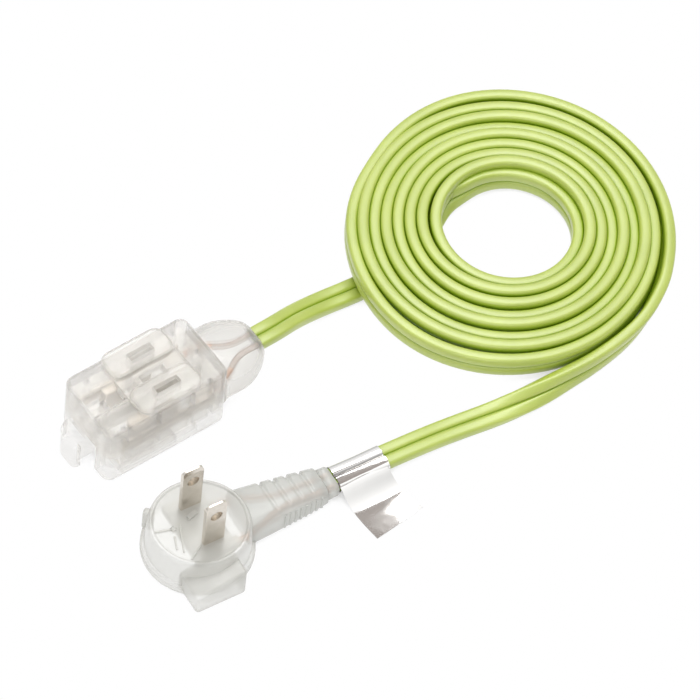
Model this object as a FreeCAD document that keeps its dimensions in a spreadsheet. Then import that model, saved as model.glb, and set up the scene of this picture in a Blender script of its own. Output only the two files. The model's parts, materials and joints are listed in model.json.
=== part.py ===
"""Household extension cord, about two metres of flat two-core cord: a clear outlet block with a sliding cover
over each of its two outlets, a coil standing on edge, and a round flat plug lying on its back.

Row frame, millimetres: origin under the centre of the outlet block's own box, on the surface that it stands
on, +X along the block toward the cord, +Z up. Near is the -Y side, far is the +Y side.
"""
import FreeCAD, Part
import math
import os
import Sketcher
from FreeCAD import Placement, Rotation, Vector

doc = FreeCAD.newDocument("extension_cord")

# Driving dimensions: alias, value, what it is
DIMENSIONS = [
    ("block_start", -26.15, "outlet block, x of its left end"),
    ("block_end", 14.15, "outlet block, x of its cord end"),
    ("block_width", 23.0, "outlet block across Y"),
    ("block_height", 23.0, "outlet block, bottom to the deck that the upper cover slides on"),
    ("parting_z", 11.25, "plane where the two shells meet, also the cord's height in the boot"),
    ("collar_start", 6.05, "x where the block's collar begins, behind the open upper cover"),
    ("guide_width", 7.0, "guide groove along the deck, width"),
    ("guide_depth", 1.2, "guide groove along the deck, depth"),
    ("corner_radius", 3.0, "rounding of the block's upright corners"),
    ("edge_radius", 1.4, "rounding of the block's top and bottom edges"),
    ("wall", 1.8, "wall of the shells"),
    ("deck_wall", 2.0, "thickness of the deck under its guide groove"),
    ("hook_reach", 4.6, "hanging hook, how far it stands out of the left end"),
    ("hook_far", 7.6, "hanging hook, y of its far side"),
    ("hook_near", -2.2, "hanging hook, y of its free end"),
    ("hook_far_radius", 4.6, "hanging hook, rounding of its far corner in plan"),
    ("hook_near_radius", 1.8, "hanging hook, rounding of its free end in plan"),
    ("hook_tip", 2.2, "hanging hook, thickness of its free end along X"),
    ("hook_height", 9.0, "hanging hook, height above the surface"),
    ("notch_near", -5.6, "notch beside the hook, y of its near side"),
    ("notch_far", -0.5, "notch beside the hook, y of its far side"),
    ("notch_depth", 3.7, "notch beside the hook, depth into the block"),
    ("cover_length", 20.4, "upper cover along X"),
    ("cover_gap", 0.4, "gap between an open cover and the end of its travel"),
    ("cover_top", 25.1, "height of the upper cover's pads"),
    ("slide_gap", 0.15, "running gap of a cover on its deck and on its rail"),
    ("pad_height", 1.5, "how far the two pads stand above the cover's middle channel"),
    ("channel_width", 4.4, "channel between the two pads"),
    ("pad_radius", 3.2, "rounding of a pad's corners in plan"),
    ("pad_edge", 1.0, "rounding of a pad's top edge"),
    ("slot_spacing", 12.7, "blade slots and plug blades, centre to centre"),
    ("slot_length", 7.8, "blade slot along X"),
    ("slot_width", 2.5, "blade slot across Y"),
    ("upper_slot_x", -3.85, "upper outlet, x of its slots"),
    ("lower_slot_x", -12.4, "lower outlet, x of its slots"),
    ("foot_stem", 3.0, "width of the foot that holds a cover to its deck"),
    ("foot_lip", 6.0, "width of the foot's lip under the deck"),
    ("foot_lip_height", 1.1, "height of the foot's lip"),
    ("foot_length", 8.0, "length of the foot along X"),
    ("cover_travel", 6.5, "how far a cover slides to close its slots"),
    ("lower_cover_length", 18.3, "lower cover along X"),
    ("lower_cover_width", 18.6, "lower cover across Y"),
    ("lower_pocket", 3.0, "depth of the pocket that the lower cover slides in"),
    ("lower_floor", 1.5, "thickness of the floor above that pocket"),
    ("boot_length", 16.6, "soft boot between the block and the cord"),
    ("strip_thickness", 0.8, "brass strip stock"),
    ("strip_height", 4.5, "brass bus strip, height"),
    ("strip_y", 8.5, "inner face of the bus strip from the middle plane"),
    ("strip_start", -20.5, "bus strip, x of its left end"),
    ("strip_end", 11.0, "bus strip, x of its cord end"),
    ("leaf_thickness", 0.6, "spring leaf of a contact"),
    ("leaf_gap", 1.9, "gap between the two leaves that grip a blade"),
    ("leaf_width", 6.3, "contact leaf along X"),
    ("leaf_height", 9.2, "contact leaf, length"),
    ("bridge_height", 2.6, "bridge from a contact's leaf to the bus strip, height"),
    ("bridge_inset", 0.7, "how much narrower the bridge is than the leaf, each side"),
    ("crimp_outer", 1.7, "crimp barrel, outer radius"),
    ("crimp_length", 5.0, "crimp barrel, length"),
    ("wire_radius", 0.9, "stripped copper conductor, radius"),
    ("wire_spread", 6.5, "conductors in the block, distance from the middle plane"),
    ("core_spacing", 3.8, "centre to centre of the two cores in the flat cord"),
    ("insulator_thickness", 1.2, "insulating wall between the two strips"),
    ("insulator_low", 6.85, "insulating wall, height of its lower edge"),
    ("insulator_height", 8.4, "insulating wall, height"),
    ("rib_length", 1.5, "ribs inside the shells, along X"),
    ("rib_depth", 1.4, "ribs that carry the strips, how far they stand out of the side walls"),
    ("post_width", 2.8, "posts that hold the insulating wall, across Y"),
    ("tab_thickness", 1.0, "tab of an outlet crimp, thickness"),
    ("cord_width", 7.2, "flat cord, width"),
    ("cord_thickness", 3.3, "flat cord, thickness"),
    ("cord_lie", 1.8, "height of the lying cord's middle"),
    ("coil_thickness", 2.6, "thickness of the coil's solid, which leaves a gap between turns"),
    ("coil_x", 114.3, "centre of the innermost turn"),
    ("coil_y", -5.6, "centre of the innermost turn"),
    ("coil_drift_x", -0.20, "how far each turn's centre moves from the one inside it"),
    ("coil_drift_y", -0.10, "how far each turn's centre moves from the one inside it"),
    ("coil_axis", 33.0, "direction of the coil's longer axis, degrees from +X"),
    ("coil_oval_inner", 0.03, "share by which the innermost quarter turns' radii alternate"),
    ("coil_oval_outer", 0.106, "share by which the outermost quarter turns' radii alternate"),
    ("coil_inner", 18.4, "mean radius of the innermost turn"),
    ("coil_pitch", 3.42, "distance from one turn to the next"),
    ("coil_loose", 0.6, "how much further out the loose outermost turn ends"),
    ("coil_turns", 8.41, "turns on edge"),
    ("coil_inner_angle", 98.0, "direction of the inner end from the coil's centre, degrees from +X"),
    ("coil_tilt", 3.1, "tilt of the coil, whose left side lies on the lead, degrees"),
    ("coil_low_x", 163.0, "x of the tilted coil's lowest edge"),
    ("plug_x", -17.0, "plug disc, centre"),
    ("plug_y", -41.8, "plug disc, centre"),
    ("plug_heading", -5.6, "direction in which the cord leaves the plug, degrees from +X"),
    ("plug_height", 13.0, "plug disc, height of its face"),
    ("plug_face_radius", 13.9, "plug disc, radius at its face"),
    ("plug_skirt_radius", 15.2, "plug disc, radius above its flange"),
    ("plug_flange_radius", 15.8, "plug disc, radius of its flange"),
    ("plug_flange_height", 3.4, "plug disc, height of its flange"),
    ("tab_start", -10.9, "finger tab, its left side from the disc's centre"),
    ("tab_end", 4.7, "finger tab, its right side from the disc's centre"),
    ("tab_reach", 18.7, "finger tab, distance of its edge from the disc's centre"),
    ("tab_low", 6.8, "finger tab, height at its left side"),
    ("tab_high", 10.4, "finger tab, height at its right side"),
    ("blade_width", 6.35, "plug blade, width"),
    ("blade_thickness", 1.5, "plug blade, thickness"),
    ("blade_out", 16.8, "plug blade, length outside the plug"),
    ("blade_in", 8.0, "plug blade, length inside the plug"),
    ("blade_hole_radius", 1.6, "hole in a plug blade, radius"),
    ("blade_hole_up", 11.9, "hole in a plug blade, height above the plug's face"),
    ("blade_chamfer", 1.4, "cut corners of a blade's tip"),
    ("blade_x", 0.4, "blades, how far they stand toward the cord from the disc's centre"),
    ("lug_length", 0.8, "lug that joins a blade to its crimp, along the plug"),
    ("plug_crimp_radius", 1.6, "crimp barrel in the plug, outer radius"),
    ("plug_crimp_length", 4.6, "crimp barrel in the plug, length"),
    ("carrier_length", 12.0, "blade carrier along the plug"),
    ("carrier_width", 20.0, "blade carrier across the plug"),
    ("carrier_height", 3.0, "blade carrier, thickness"),
    ("carrier_z", 8.2, "blade carrier, height of its underside"),
    ("relief_start", 13.2, "plug strain relief, start along the plug's axis"),
    ("relief_end", 40.2, "plug strain relief, end of its ribs"),
    ("relief_collar", 2.0, "small collar at the end of the strain relief"),
    ("relief_cord_z", 3.9, "height of the cord where it leaves the plug"),
    ("relief_ribs", 5, "ribs on the strain relief"),
    ("label_length", 15.6, "foil label along the cord"),
    ("label_flag", 15.4, "foil label's flag across"),
    ("label_thickness", 0.4, "foil label, two layers and glue"),
]

sheet = doc.addObject("Spreadsheet::Sheet", "dims")
for number, (alias, value, meaning) in enumerate(DIMENSIONS, 1):
    sheet.set("A%d" % number, str(value))
    sheet.setAlias("A%d" % number, alias)
    sheet.set("B%d" % number, meaning)
doc.recompute()

BLOCK_MIDDLE = "(dims.block_start + dims.block_end) / 2"
FAR_SIDE, NEAR_SIDE = 1, -1
TWIST_SECTIONS = 9
SIDE_NAMES = {FAR_SIDE: "far", NEAR_SIDE: "near"}
nodes = []


def size(alias):
    """A driving dimension's value, for the shapes that are worked out in code."""
    return float(sheet.get(alias))


def bind(thing, **expressions):
    """Bind properties to the sheet. Two underscores in a name stand for a dot."""
    for name, expression in expressions.items():
        thing.setExpression(name.replace("__", "."), str(expression))
    return thing


def place(thing, x="0", y="0", z="0"):
    return bind(thing, Placement__Base__x=x, Placement__Base__y=y, Placement__Base__z=z)


def box(name, x, y, z, length, width, height):
    """A box from its lowest corner, every value an expression."""
    thing = doc.addObject("Part::Box", name)
    bind(thing, Length=length, Width=width, Height=height)
    return place(thing, x, y, z)


def middle_box(name, x, z, length, width, height, y="0"):
    """A box centred on y."""
    return box(name, x, "%s - (%s) / 2" % (y, width), z, length, width, height)


def boolean(kind, name, *shapes):
    """Cut takes the first shape less the second; MultiFuse joins all of them."""
    thing = doc.addObject("Part::" + kind, name)
    if kind == "MultiFuse":
        thing.Shapes = list(shapes)
        thing.Refine = True
    else:
        thing.Base, thing.Tool = shapes
    return thing


def rounded(name, base, radius_alias, chosen):
    """Fillet the edges of base that chosen(edge) picks, each to the same radius."""
    doc.recompute()
    radius = size(radius_alias)
    thing = doc.addObject("Part::Fillet", name)
    thing.Base = base
    thing.Edges = [(number, radius, radius) for number, edge in enumerate(base.Shape.Edges, 1) if chosen(edge)]
    return thing


def upright(edge):
    ends = edge.Vertexes
    if len(ends) != 2:
        return False
    run = ends[1].Point - ends[0].Point
    return abs(run.x) < 1e-6 and abs(run.y) < 1e-6 and abs(run.z) > 1e-6


def level_at(*heights):
    """Edges that lie at one of these heights."""
    def chosen(edge):
        lows = edge.BoundBox.ZMin, edge.BoundBox.ZMax
        return any(abs(lows[0] - height) < 1e-4 and abs(lows[1] - height) < 1e-4 for height in heights)
    return chosen


def outline_upright(edge):
    """Upright edges on the block's four corners."""
    half = size("block_width") / 2
    return upright(edge) and abs(abs(edge.Vertexes[0].Point.y) - half) < 1e-4 and (
        abs(edge.Vertexes[0].Point.x - size("block_start")) < 1e-4
        or abs(edge.Vertexes[0].Point.x - size("block_end")) < 1e-4)


def keep(node, thing):
    """Name the object that becomes this node's file."""
    thing.Label = node
    nodes.append(thing)
    return thing


def shaped(name, shape):
    """A feature whose shape is worked out in code."""
    thing = doc.addObject("Part::Feature", name)
    thing.Shape = shape
    return thing


# Paths and sections of the cord and the wires


def corner_path(points):
    """Straight runs joined by tangent arcs, each as large as its two runs allow. Returns the wire and radii."""
    edges, radii = [], []
    at = points[0]
    for before, corner, after in zip(points, points[1:], points[2:]):
        into, out = (corner - before), (after - corner)
        shorter = min(into.Length, out.Length)
        into.normalize()
        out.normalize()
        half_turn = into.getAngle(out) / 2
        back = 0.45 * shorter
        radii.append(back / math.tan(half_turn))
        start, end = corner - into * back, corner + out * back
        bulge = out - into
        bulge.normalize()
        centre = corner + bulge * (radii[-1] / math.cos(half_turn))
        middle = centre - bulge * radii[-1]
        edges.append(Part.LineSegment(at, start).toShape())
        edges.append(Part.Arc(start, middle, end).toShape())
        at = end
    edges.append(Part.LineSegment(at, points[-1]).toShape())
    return Part.Wire(edges), radii


def flat_section(centre, along, across, width, thickness):
    """The flat cord's section as a rounded rectangle: along is the cord's way, across lies along its width."""
    along, across = Vector(along), Vector(across)
    along.normalize()
    across = across - along * across.dot(along)
    across.normalize()
    up = along.cross(across)
    radius = thickness * 0.42
    half_w, half_t = width / 2, thickness / 2
    quarter = radius * (1 - math.sqrt(0.5))

    def spot(a, b):
        return centre + across * a + up * b
    edges = []
    signs = [(1, 1), (-1, 1), (-1, -1), (1, -1)]
    for (sa, sb), (ta, tb) in zip(signs, signs[1:] + signs[:1]):
        on_width = ta * (half_w - radius), tb * half_t
        on_thickness = ta * half_w, tb * (half_t - radius)
        if sb == tb:
            start, first, last = (sa * (half_w - radius), sb * half_t), on_width, on_thickness
        else:
            start, first, last = (sa * half_w, sb * (half_t - radius)), on_thickness, on_width
        edges.append(Part.LineSegment(spot(*start), spot(*first)).toShape())
        middle = spot(ta * (half_w - quarter), tb * (half_t - quarter))
        edges.append(Part.Arc(spot(*first), middle, spot(*last)).toShape())
    return Part.Wire(edges)


def swept(path, section):
    """One solid of this section along this path, turned right side out."""
    shell = Part.BRepOffsetAPI.MakePipeShell(path)
    shell.add(section)
    shell.build()
    shell.makeSolid()
    solid = shell.shape()
    if solid.Volume < 0:
        solid.reverse()
    return solid


def report_volume(name, solid, section, length):
    expected = Part.Face(section).Area * length
    print("%s: length %.1f mm, volume %.0f mm3, section times length %.0f mm3"
          % (name, length, solid.Volume, expected))


def flat_run(name, points):
    """A flat stretch of cord that lies on its wide side along these points."""
    path, radii = corner_path(points)
    along = points[1] - points[0]
    across = Vector(0, 0, 1).cross(along)
    section = flat_section(points[0], along, across, size("cord_width"), size("cord_thickness"))
    solid = swept(path, section)
    print("%s: radii %s mm" % (name, ", ".join("%.0f" % radius for radius in radii)))
    report_volume(name, solid, section, path.Length)
    return solid


def wire_run(points):
    """A round copper conductor along these points."""
    path, radii = corner_path(points)
    circle = Part.Wire(Part.Circle(points[0], points[1] - points[0], size("wire_radius")).toShape())
    return swept(path, circle)


def twist(flat_end, flat_way, flat_across, edge_end, edge_way, edge_across):
    """The stretch where the cord turns from its wide side onto its edge, through smooth sections.

    It follows a curve with the given ways at its ends, and rises as its width turns upright."""
    reach = (edge_end - flat_end).Length
    rise = edge_end.z - flat_end.z
    sections = []
    for step in range(TWIST_SECTIONS):
        u = step / (TWIST_SECTIONS - 1)
        turned = math.sin(u * math.pi / 2) ** 2 * math.pi / 2
        spot = (flat_end * (2 * u ** 3 - 3 * u ** 2 + 1) + flat_way * (reach * (u ** 3 - 2 * u ** 2 + u))
                + edge_end * (3 * u ** 2 - 2 * u ** 3) + edge_way * (reach * (u ** 3 - u ** 2)))
        along = ((edge_end - flat_end) * (6 * u - 6 * u ** 2) + flat_way * (reach * (3 * u ** 2 - 4 * u + 1))
                 + edge_way * (reach * (3 * u ** 2 - 2 * u)))
        spot.z = flat_end.z + rise * math.sin(turned)
        across = flat_across * math.cos(turned) + edge_across * math.sin(turned)
        thickness = size("cord_thickness") + (size("coil_thickness") - size("cord_thickness")) * u
        sections.append(flat_section(spot, along, across, size("cord_width"), thickness))
    return Part.makeLoft(sections, True, True)


# Outlet block: two clear shells


def foot(name, x, deck_low, deck_thickness, up):
    """The foot that holds a cover: a stem through the deck's slot and a lip behind the deck."""
    stem_z = "(%s) - dims.slide_gap" % deck_low if up else deck_low + " - dims.slide_gap"
    stem = middle_box(name + "_stem", x, stem_z, "dims.foot_length", "dims.foot_stem",
                      "(%s) + 2 * dims.slide_gap" % deck_thickness)
    lip_z = ("(%s) - dims.slide_gap - dims.foot_lip_height" % deck_low if up
             else "(%s) + (%s) + dims.slide_gap" % (deck_low, deck_thickness))
    lip = middle_box(name + "_lip", x, lip_z, "dims.foot_length", "dims.foot_lip", "dims.foot_lip_height")
    return stem, lip


def slots(name, x, z, height, extra="0"):
    """The two blade slots of an outlet, as cutting boxes centred on x."""
    pair = []
    for side, word in SIDE_NAMES.items():
        pair.append(middle_box("%s_%s" % (name, word), "%s - dims.slot_length / 2 - (%s)" % (x, extra), z,
                               "dims.slot_length + 2 * (%s)" % extra, "dims.slot_width + 2 * (%s)" % extra, height,
                               y="%d * dims.slot_spacing / 2" % side))
    return pair


UPPER_COVER_X = "dims.collar_start - dims.cover_gap - dims.cover_length"
UPPER_FOOT_X = "dims.upper_slot_x - dims.foot_length / 2"
LOWER_COVER_X = "dims.block_start + dims.notch_depth + dims.wall + dims.cover_gap"
LOWER_FOOT_X = "dims.lower_slot_x - dims.foot_length / 2"


CAVITY_START = "dims.block_start + dims.notch_depth + dims.wall"
CAVITY_END = "dims.block_end - dims.wall"
RIB_SPOTS = (-19.5, -8.6, 2.5, 9.0)


def ribs(name, strip_low, strip_high, post_low, post_high):
    """Ribs on both side walls that clamp the strips, and two posts that hold the insulating wall."""
    pieces = []
    for side, word in SIDE_NAMES.items():
        for number, x in enumerate(RIB_SPOTS):
            pieces.append(middle_box("%s_rib_%s_%d" % (name, word, number), "%s - dims.rib_length / 2" % x, strip_low,
                                     "dims.rib_length", "dims.rib_depth", "(%s) - (%s)" % (strip_high, strip_low),
                                     y="%d * (dims.block_width / 2 - dims.wall - dims.rib_depth / 2)" % side))
    for number, x in enumerate((CAVITY_START, CAVITY_END + " - dims.rib_length")):
        pieces.append(middle_box("%s_post_%d" % (name, number), x, post_low, "dims.rib_length", "dims.post_width",
                                 "(%s) - (%s)" % (post_high, post_low)))
    return pieces


def upper_shell():
    """The deck with its guide groove and rail slot, over a hollow for the contacts."""
    length = "dims.block_end - dims.block_start"
    groove_floor = "dims.block_height - dims.guide_depth"
    ceiling = groove_floor + " - dims.deck_wall"
    body = middle_box("upper_outer", "dims.block_start", "dims.parting_z", length, "dims.block_width",
                      "dims.block_height - dims.parting_z")
    body = rounded("upper_corners", body, "corner_radius", outline_upright)
    body = rounded("upper_edges", body, "edge_radius", level_at(size("block_height")))
    hollow = middle_box("upper_hollow", "dims.block_start + dims.wall", "dims.parting_z", length + " - 2 * dims.wall",
                        "dims.block_width - 2 * dims.wall", ceiling + " - dims.parting_z")
    groove = middle_box("guide_groove", "dims.block_start - 1", groove_floor,
                        "dims.collar_start - dims.block_start + 1", "dims.guide_width", "dims.guide_depth + 1")
    rail = middle_box("upper_rail", UPPER_FOOT_X + " - dims.cover_travel - dims.slide_gap * 2", ceiling + " - 1",
                      "dims.foot_length + dims.cover_travel + dims.slide_gap * 4",
                      "dims.foot_stem + 2 * dims.slide_gap", "dims.deck_wall + 2")
    holes = slots("upper_slot", "dims.upper_slot_x", ceiling + " - 1", "dims.deck_wall + dims.guide_depth + 2")
    tools = boolean("MultiFuse", "upper_tools", hollow, groove, rail, *holes)
    opened = boolean("Cut", "upper_open", body, tools)
    return boolean("MultiFuse", "upper_ribbed", opened, *ribs(
        "upper", "dims.parting_z + dims.strip_height / 2", ceiling, "dims.insulator_low + dims.insulator_height",
        ceiling))


def lower_shell():
    """The half that the block stands on, with the hanging hook and the pocket of the lower cover."""
    length = "dims.block_end - dims.block_start"
    body = middle_box("lower_outer", "dims.block_start", "0", length, "dims.block_width", "dims.parting_z")
    body = rounded("lower_corners", body, "corner_radius", outline_upright)
    body = rounded("lower_edges", body, "edge_radius", level_at(0))
    hook = box("hook_outer", "dims.block_start - dims.hook_reach", "dims.hook_near", "0",
               "dims.hook_reach + dims.corner_radius", "dims.hook_far - dims.hook_near", "dims.hook_height")
    tip_x = size("block_start") - 1
    hook = rounded("hook_far_round", hook, "hook_far_radius",
                   lambda edge: upright(edge) and edge.BoundBox.XMax < tip_x and edge.BoundBox.YMin > 0)
    hook = rounded("hook_near_round", hook, "hook_near_radius",
                   lambda edge: upright(edge) and edge.BoundBox.XMax < tip_x and edge.BoundBox.YMax < -1)
    joined = boolean("MultiFuse", "lower_joined", body, hook)
    notch = box("hook_notch", "dims.block_start - dims.hook_reach + dims.hook_tip", "dims.notch_near", "-1",
                "dims.hook_reach - dims.hook_tip + dims.notch_depth", "dims.notch_far - dims.notch_near",
                "dims.parting_z + 2")
    floor = "dims.lower_pocket + dims.lower_floor"
    hollow = middle_box("lower_hollow", CAVITY_START, floor, "%s - (%s)" % (CAVITY_END, CAVITY_START),
                        "dims.block_width - 2 * dims.wall", "dims.parting_z")
    pocket = middle_box("lower_pocket_cut", CAVITY_START, "-1",
                        "dims.lower_cover_length + dims.cover_travel + 2 * dims.cover_gap",
                        "dims.lower_cover_width + 2 * dims.slide_gap", "dims.lower_pocket + 1")
    rail = middle_box("lower_rail", LOWER_FOOT_X + " - dims.slide_gap * 2", "dims.lower_pocket - 1",
                      "dims.foot_length + dims.cover_travel + dims.slide_gap * 4",
                      "dims.foot_stem + 2 * dims.slide_gap", "dims.lower_floor + 2")
    holes = slots("lower_slot", "dims.lower_slot_x", "dims.lower_pocket - 1", "dims.lower_floor + 2")
    tools = boolean("MultiFuse", "lower_tools", notch, hollow, pocket, rail, *holes)
    opened = boolean("Cut", "lower_open", joined, tools)
    return boolean("MultiFuse", "lower_ribbed", opened, *ribs(
        "lower", floor, "dims.parting_z - dims.strip_height / 2", floor, "dims.insulator_low"))


def upper_cover():
    """Two rounded pads on one plate, a slot in each, and a keel that runs in the deck's guide groove."""
    low = "dims.block_height + dims.slide_gap"
    middle_top = "dims.cover_top - dims.pad_height"
    groove_floor = "dims.block_height - dims.guide_depth"
    keel_low = groove_floor + " + dims.slide_gap"
    solids = []
    for side, word in SIDE_NAMES.items():
        pad = middle_box("cover_pad_" + word, UPPER_COVER_X, low, "dims.cover_length",
                         "(dims.block_width - dims.channel_width) / 2", "dims.cover_top - (%s)" % low,
                         y="%d * (dims.channel_width + dims.block_width) / 4" % side)
        pad = rounded("cover_pad_round_" + word, pad, "pad_radius", upright)
        solids.append(rounded("cover_pad_edge_" + word, pad, "pad_edge", level_at(size("cover_top"))))
    solids.append(middle_box("cover_middle", UPPER_COVER_X, low, "dims.cover_length",
                             "dims.channel_width + 2 * dims.pad_radius", "%s - (%s)" % (middle_top, low)))
    solids.append(middle_box("cover_keel", UPPER_COVER_X, keel_low, "dims.cover_length",
                             "dims.guide_width - 4 * dims.slide_gap", "%s - (%s)" % (middle_top, keel_low)))
    solids += foot("cover_foot", UPPER_FOOT_X, groove_floor + " - dims.deck_wall", "dims.deck_wall", True)
    solid = boolean("MultiFuse", "cover_solid", *solids)
    holes = slots("cover_slot", "dims.upper_slot_x", low + " - 1", "dims.cover_top - dims.block_height + 2")
    return boolean("Cut", "cover_open", solid, boolean("MultiFuse", "cover_tools", *holes))


def lower_cover():
    """A plain plate in its pocket, flush with the block's underside."""
    plate = middle_box("lower_plate", LOWER_COVER_X, "0",
                       "dims.lower_cover_length", "dims.lower_cover_width", "dims.lower_pocket - dims.slide_gap")
    stem, lip = foot("lower_foot", LOWER_FOOT_X, "dims.lower_pocket", "dims.lower_floor", False)
    solid = boolean("MultiFuse", "lower_cover_solid", plate, stem, lip)
    tools = boolean("MultiFuse", "lower_cover_tools",
                    *slots("lower_cover_slot", "dims.lower_slot_x", "-1", "dims.lower_pocket + 1"))
    return boolean("Cut", "lower_cover_open", solid, tools)


# Inside the block: brass strips, crimps, conductors, insulating wall


def contact(side, x, opens_up):
    """Two leaves that grip a blade, joined at their closed end and to the bus strip."""
    word = "%s_%s" % ("upper" if opens_up else "lower", SIDE_NAMES[side])
    bottom = "dims.parting_z + %s - dims.leaf_height / 2" % ("1.0" if opens_up else "- 1.0")
    start = "%s - dims.leaf_width / 2" % x
    centre = "%d * dims.slot_spacing / 2" % side
    offset = "(dims.leaf_gap + dims.leaf_thickness) / 2"
    pieces = [middle_box("leaf_%s_%d" % (word, way), start, bottom, "dims.leaf_width", "dims.leaf_thickness",
                         "dims.leaf_height", y="%s + %d * %s" % (centre, way, offset)) for way in (-1, 1)]
    web_z = bottom if opens_up else "%s + dims.leaf_height - dims.leaf_thickness" % bottom
    pieces.append(middle_box("web_" + word, start, web_z, "dims.leaf_width", "dims.leaf_gap + 2 * dims.leaf_thickness",
                             "dims.leaf_thickness", y=centre))
    inner = "dims.slot_spacing / 2 + dims.leaf_gap / 2 + dims.leaf_thickness / 2"
    outer = "dims.strip_y + dims.strip_thickness / 2"
    pieces.append(middle_box("bridge_" + word, start + " + dims.bridge_inset",
                             "dims.parting_z - dims.bridge_height / 2", "dims.leaf_width - 2 * dims.bridge_inset",
                             "%s - (%s)" % (outer, inner), "dims.bridge_height",
                             y="%d * (%s + %s) / 2" % (side, outer, inner)))
    return pieces


def contact_strip(side):
    word = SIDE_NAMES[side]
    bus = middle_box("bus_" + word, "dims.strip_start", "dims.parting_z - dims.strip_height / 2",
                     "dims.strip_end - dims.strip_start", "dims.strip_thickness", "dims.strip_height",
                     y="%d * (dims.strip_y + dims.strip_thickness / 2)" % side)
    pieces = [bus] + contact(side, "dims.upper_slot_x", True) + contact(side, "dims.lower_slot_x", False)
    return boolean("MultiFuse", "strip_" + word, *pieces)


def crimp_barrel(start, along, outer, length):
    """A crimp barrel round a conductor."""
    bore = Part.makeCylinder(size("wire_radius"), length, start, along)
    return Part.makeCylinder(outer, length, start, along).cut(bore)


def outlet_crimp(side):
    """A barrel on the conductor with a tab that lies against the bus strip."""
    start = Vector(size("strip_end") - size("crimp_length"), side * size("wire_spread"), size("parting_z"))
    tube = crimp_barrel(start, Vector(1, 0, 0), size("crimp_outer"), size("crimp_length"))
    inside_barrel = (size("crimp_outer") + size("wire_radius")) / 2
    tab_width = size("strip_y") - size("wire_spread") - inside_barrel
    tab_low = size("strip_y") - tab_width if side == FAR_SIDE else -size("strip_y")
    tab = Part.makeBox(size("crimp_length"), tab_width, size("tab_thickness"),
                       Vector(start.x, tab_low, start.z - size("tab_thickness") / 2))
    return shaped("outlet_crimp_shape_" + SIDE_NAMES[side], tube.fuse(tab).removeSplitter())


def outlet_conductor(side):
    """Bare copper from the crimp to the boot's cord end, where the insulation begins."""
    core, spread, z = side * size("core_spacing") / 2, side * size("wire_spread"), size("parting_z")
    end = size("block_end") + size("boot_length")
    bend_in, bend_out = size("block_end") + 2.05, end - 7.15
    points = [Vector(size("strip_end") - size("crimp_length"), spread, z), Vector(bend_in, spread, z),
              Vector(bend_out, core, z), Vector(end, core, z)]
    return shaped("outlet_conductor_shape_" + SIDE_NAMES[side], wire_run(points))


def insulating_wall():
    return middle_box("insulating_wall", CAVITY_START, "dims.insulator_low", "%s - (%s)" % (CAVITY_END, CAVITY_START),
                      "dims.insulator_thickness", "dims.insulator_height")


def rounded_section(x, half_width, low, high, radius):
    """A rounded rectangle across X, as eight edges."""
    wide, tall = 2 * half_width, high - low
    centre = Vector(x, 0, (low + high) / 2)
    edges = []
    corners = [(1, 1), (-1, 1), (-1, -1), (1, -1)]
    quarter = radius * (1 - math.sqrt(0.5))
    for (sy, sz), (ty, tz) in zip(corners, corners[1:] + corners[:1]):
        inset_y = radius if sz == tz else 0
        inset_z = 0 if sz == tz else radius
        start = centre + Vector(0, sy * (wide / 2 - inset_y), sz * (tall / 2 - inset_z))
        stop = centre + Vector(0, ty * (wide / 2 - inset_y), tz * (tall / 2 - inset_z))
        edges.append(Part.LineSegment(start, stop).toShape())
        next_y, next_z = (0, radius) if sz == tz else (radius, 0)
        after = centre + Vector(0, ty * (wide / 2 - next_y), tz * (tall / 2 - next_z))
        middle = centre + Vector(0, ty * (wide / 2 - quarter), tz * (tall / 2 - quarter))
        edges.append(Part.Arc(stop, middle, after).toShape())
    return Part.Wire(edges)


# Boot sections: distance from the block, half width, lowest and highest z, corner radius
BOOT_SECTIONS = [(0.0, 10.4, 2.6, 19.9, 6.0), (3.0, 9.9, 2.9, 19.6, 6.0), (10.0, 9.5, 3.9, 17.8, 5.2),
                 (13.0, 8.2, 4.9, 17.0, 4.8), (15.4, 6.4, 6.6, 15.9, 3.8), (16.6, 4.8, 8.0, 14.5, 2.8)]


def outlet_boot(conductors):
    """The soft dome that grips the cord behind the block."""
    wires = [rounded_section(size("block_end") + out, half, low, high, radius)
             for out, half, low, high, radius in BOOT_SECTIONS]
    dome = Part.makeLoft(wires, True, False)
    for wire in conductors:
        dome = dome.cut(wire.Shape)
    return shaped("outlet_boot_shape", dome)


# Plug, in its own frame: origin under the disc's centre, +X toward the cord


def plug_placement():
    return Placement(Vector(size("plug_x"), size("plug_y"), 0), Rotation(Vector(0, 0, 1), size("plug_heading")))


def plug_spot(x, y, z):
    return plug_placement().multVec(Vector(x, y, z))


def sketch_outline(body, name, plane, corners):
    """A closed sketch whose corners are pairs of expressions, on one of the body's own planes."""
    sketch = body.newObject("Sketcher::SketchObject", name)
    origin_plane = [f for f in body.Origin.OriginFeatures if f.Role == plane][0]
    sketch.AttachmentSupport = (origin_plane, [""])
    sketch.MapMode = "FlatFace"
    guesses = [(evaluate(a), evaluate(b)) for a, b in corners]
    for (ax, ay), (bx, by) in zip(guesses, guesses[1:] + guesses[:1]):
        sketch.addGeometry(Part.LineSegment(Vector(ax, ay, 0), Vector(bx, by, 0)))
    count = len(corners)
    for line in range(count):
        sketch.addConstraint(Sketcher.Constraint("Coincident", line, 2, (line + 1) % count, 1))
    for line, (a, b) in enumerate(corners):
        for kind, expression, value in (("DistanceX", a, guesses[line][0]), ("DistanceY", b, guesses[line][1])):
            number = sketch.addConstraint(Sketcher.Constraint(kind, -1, 1, line, 1, value))
            sketch.setExpression("Constraints[%d]" % number, expression)
    return sketch


def evaluate(expression):
    return float(sheet.evalExpression(expression))


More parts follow.
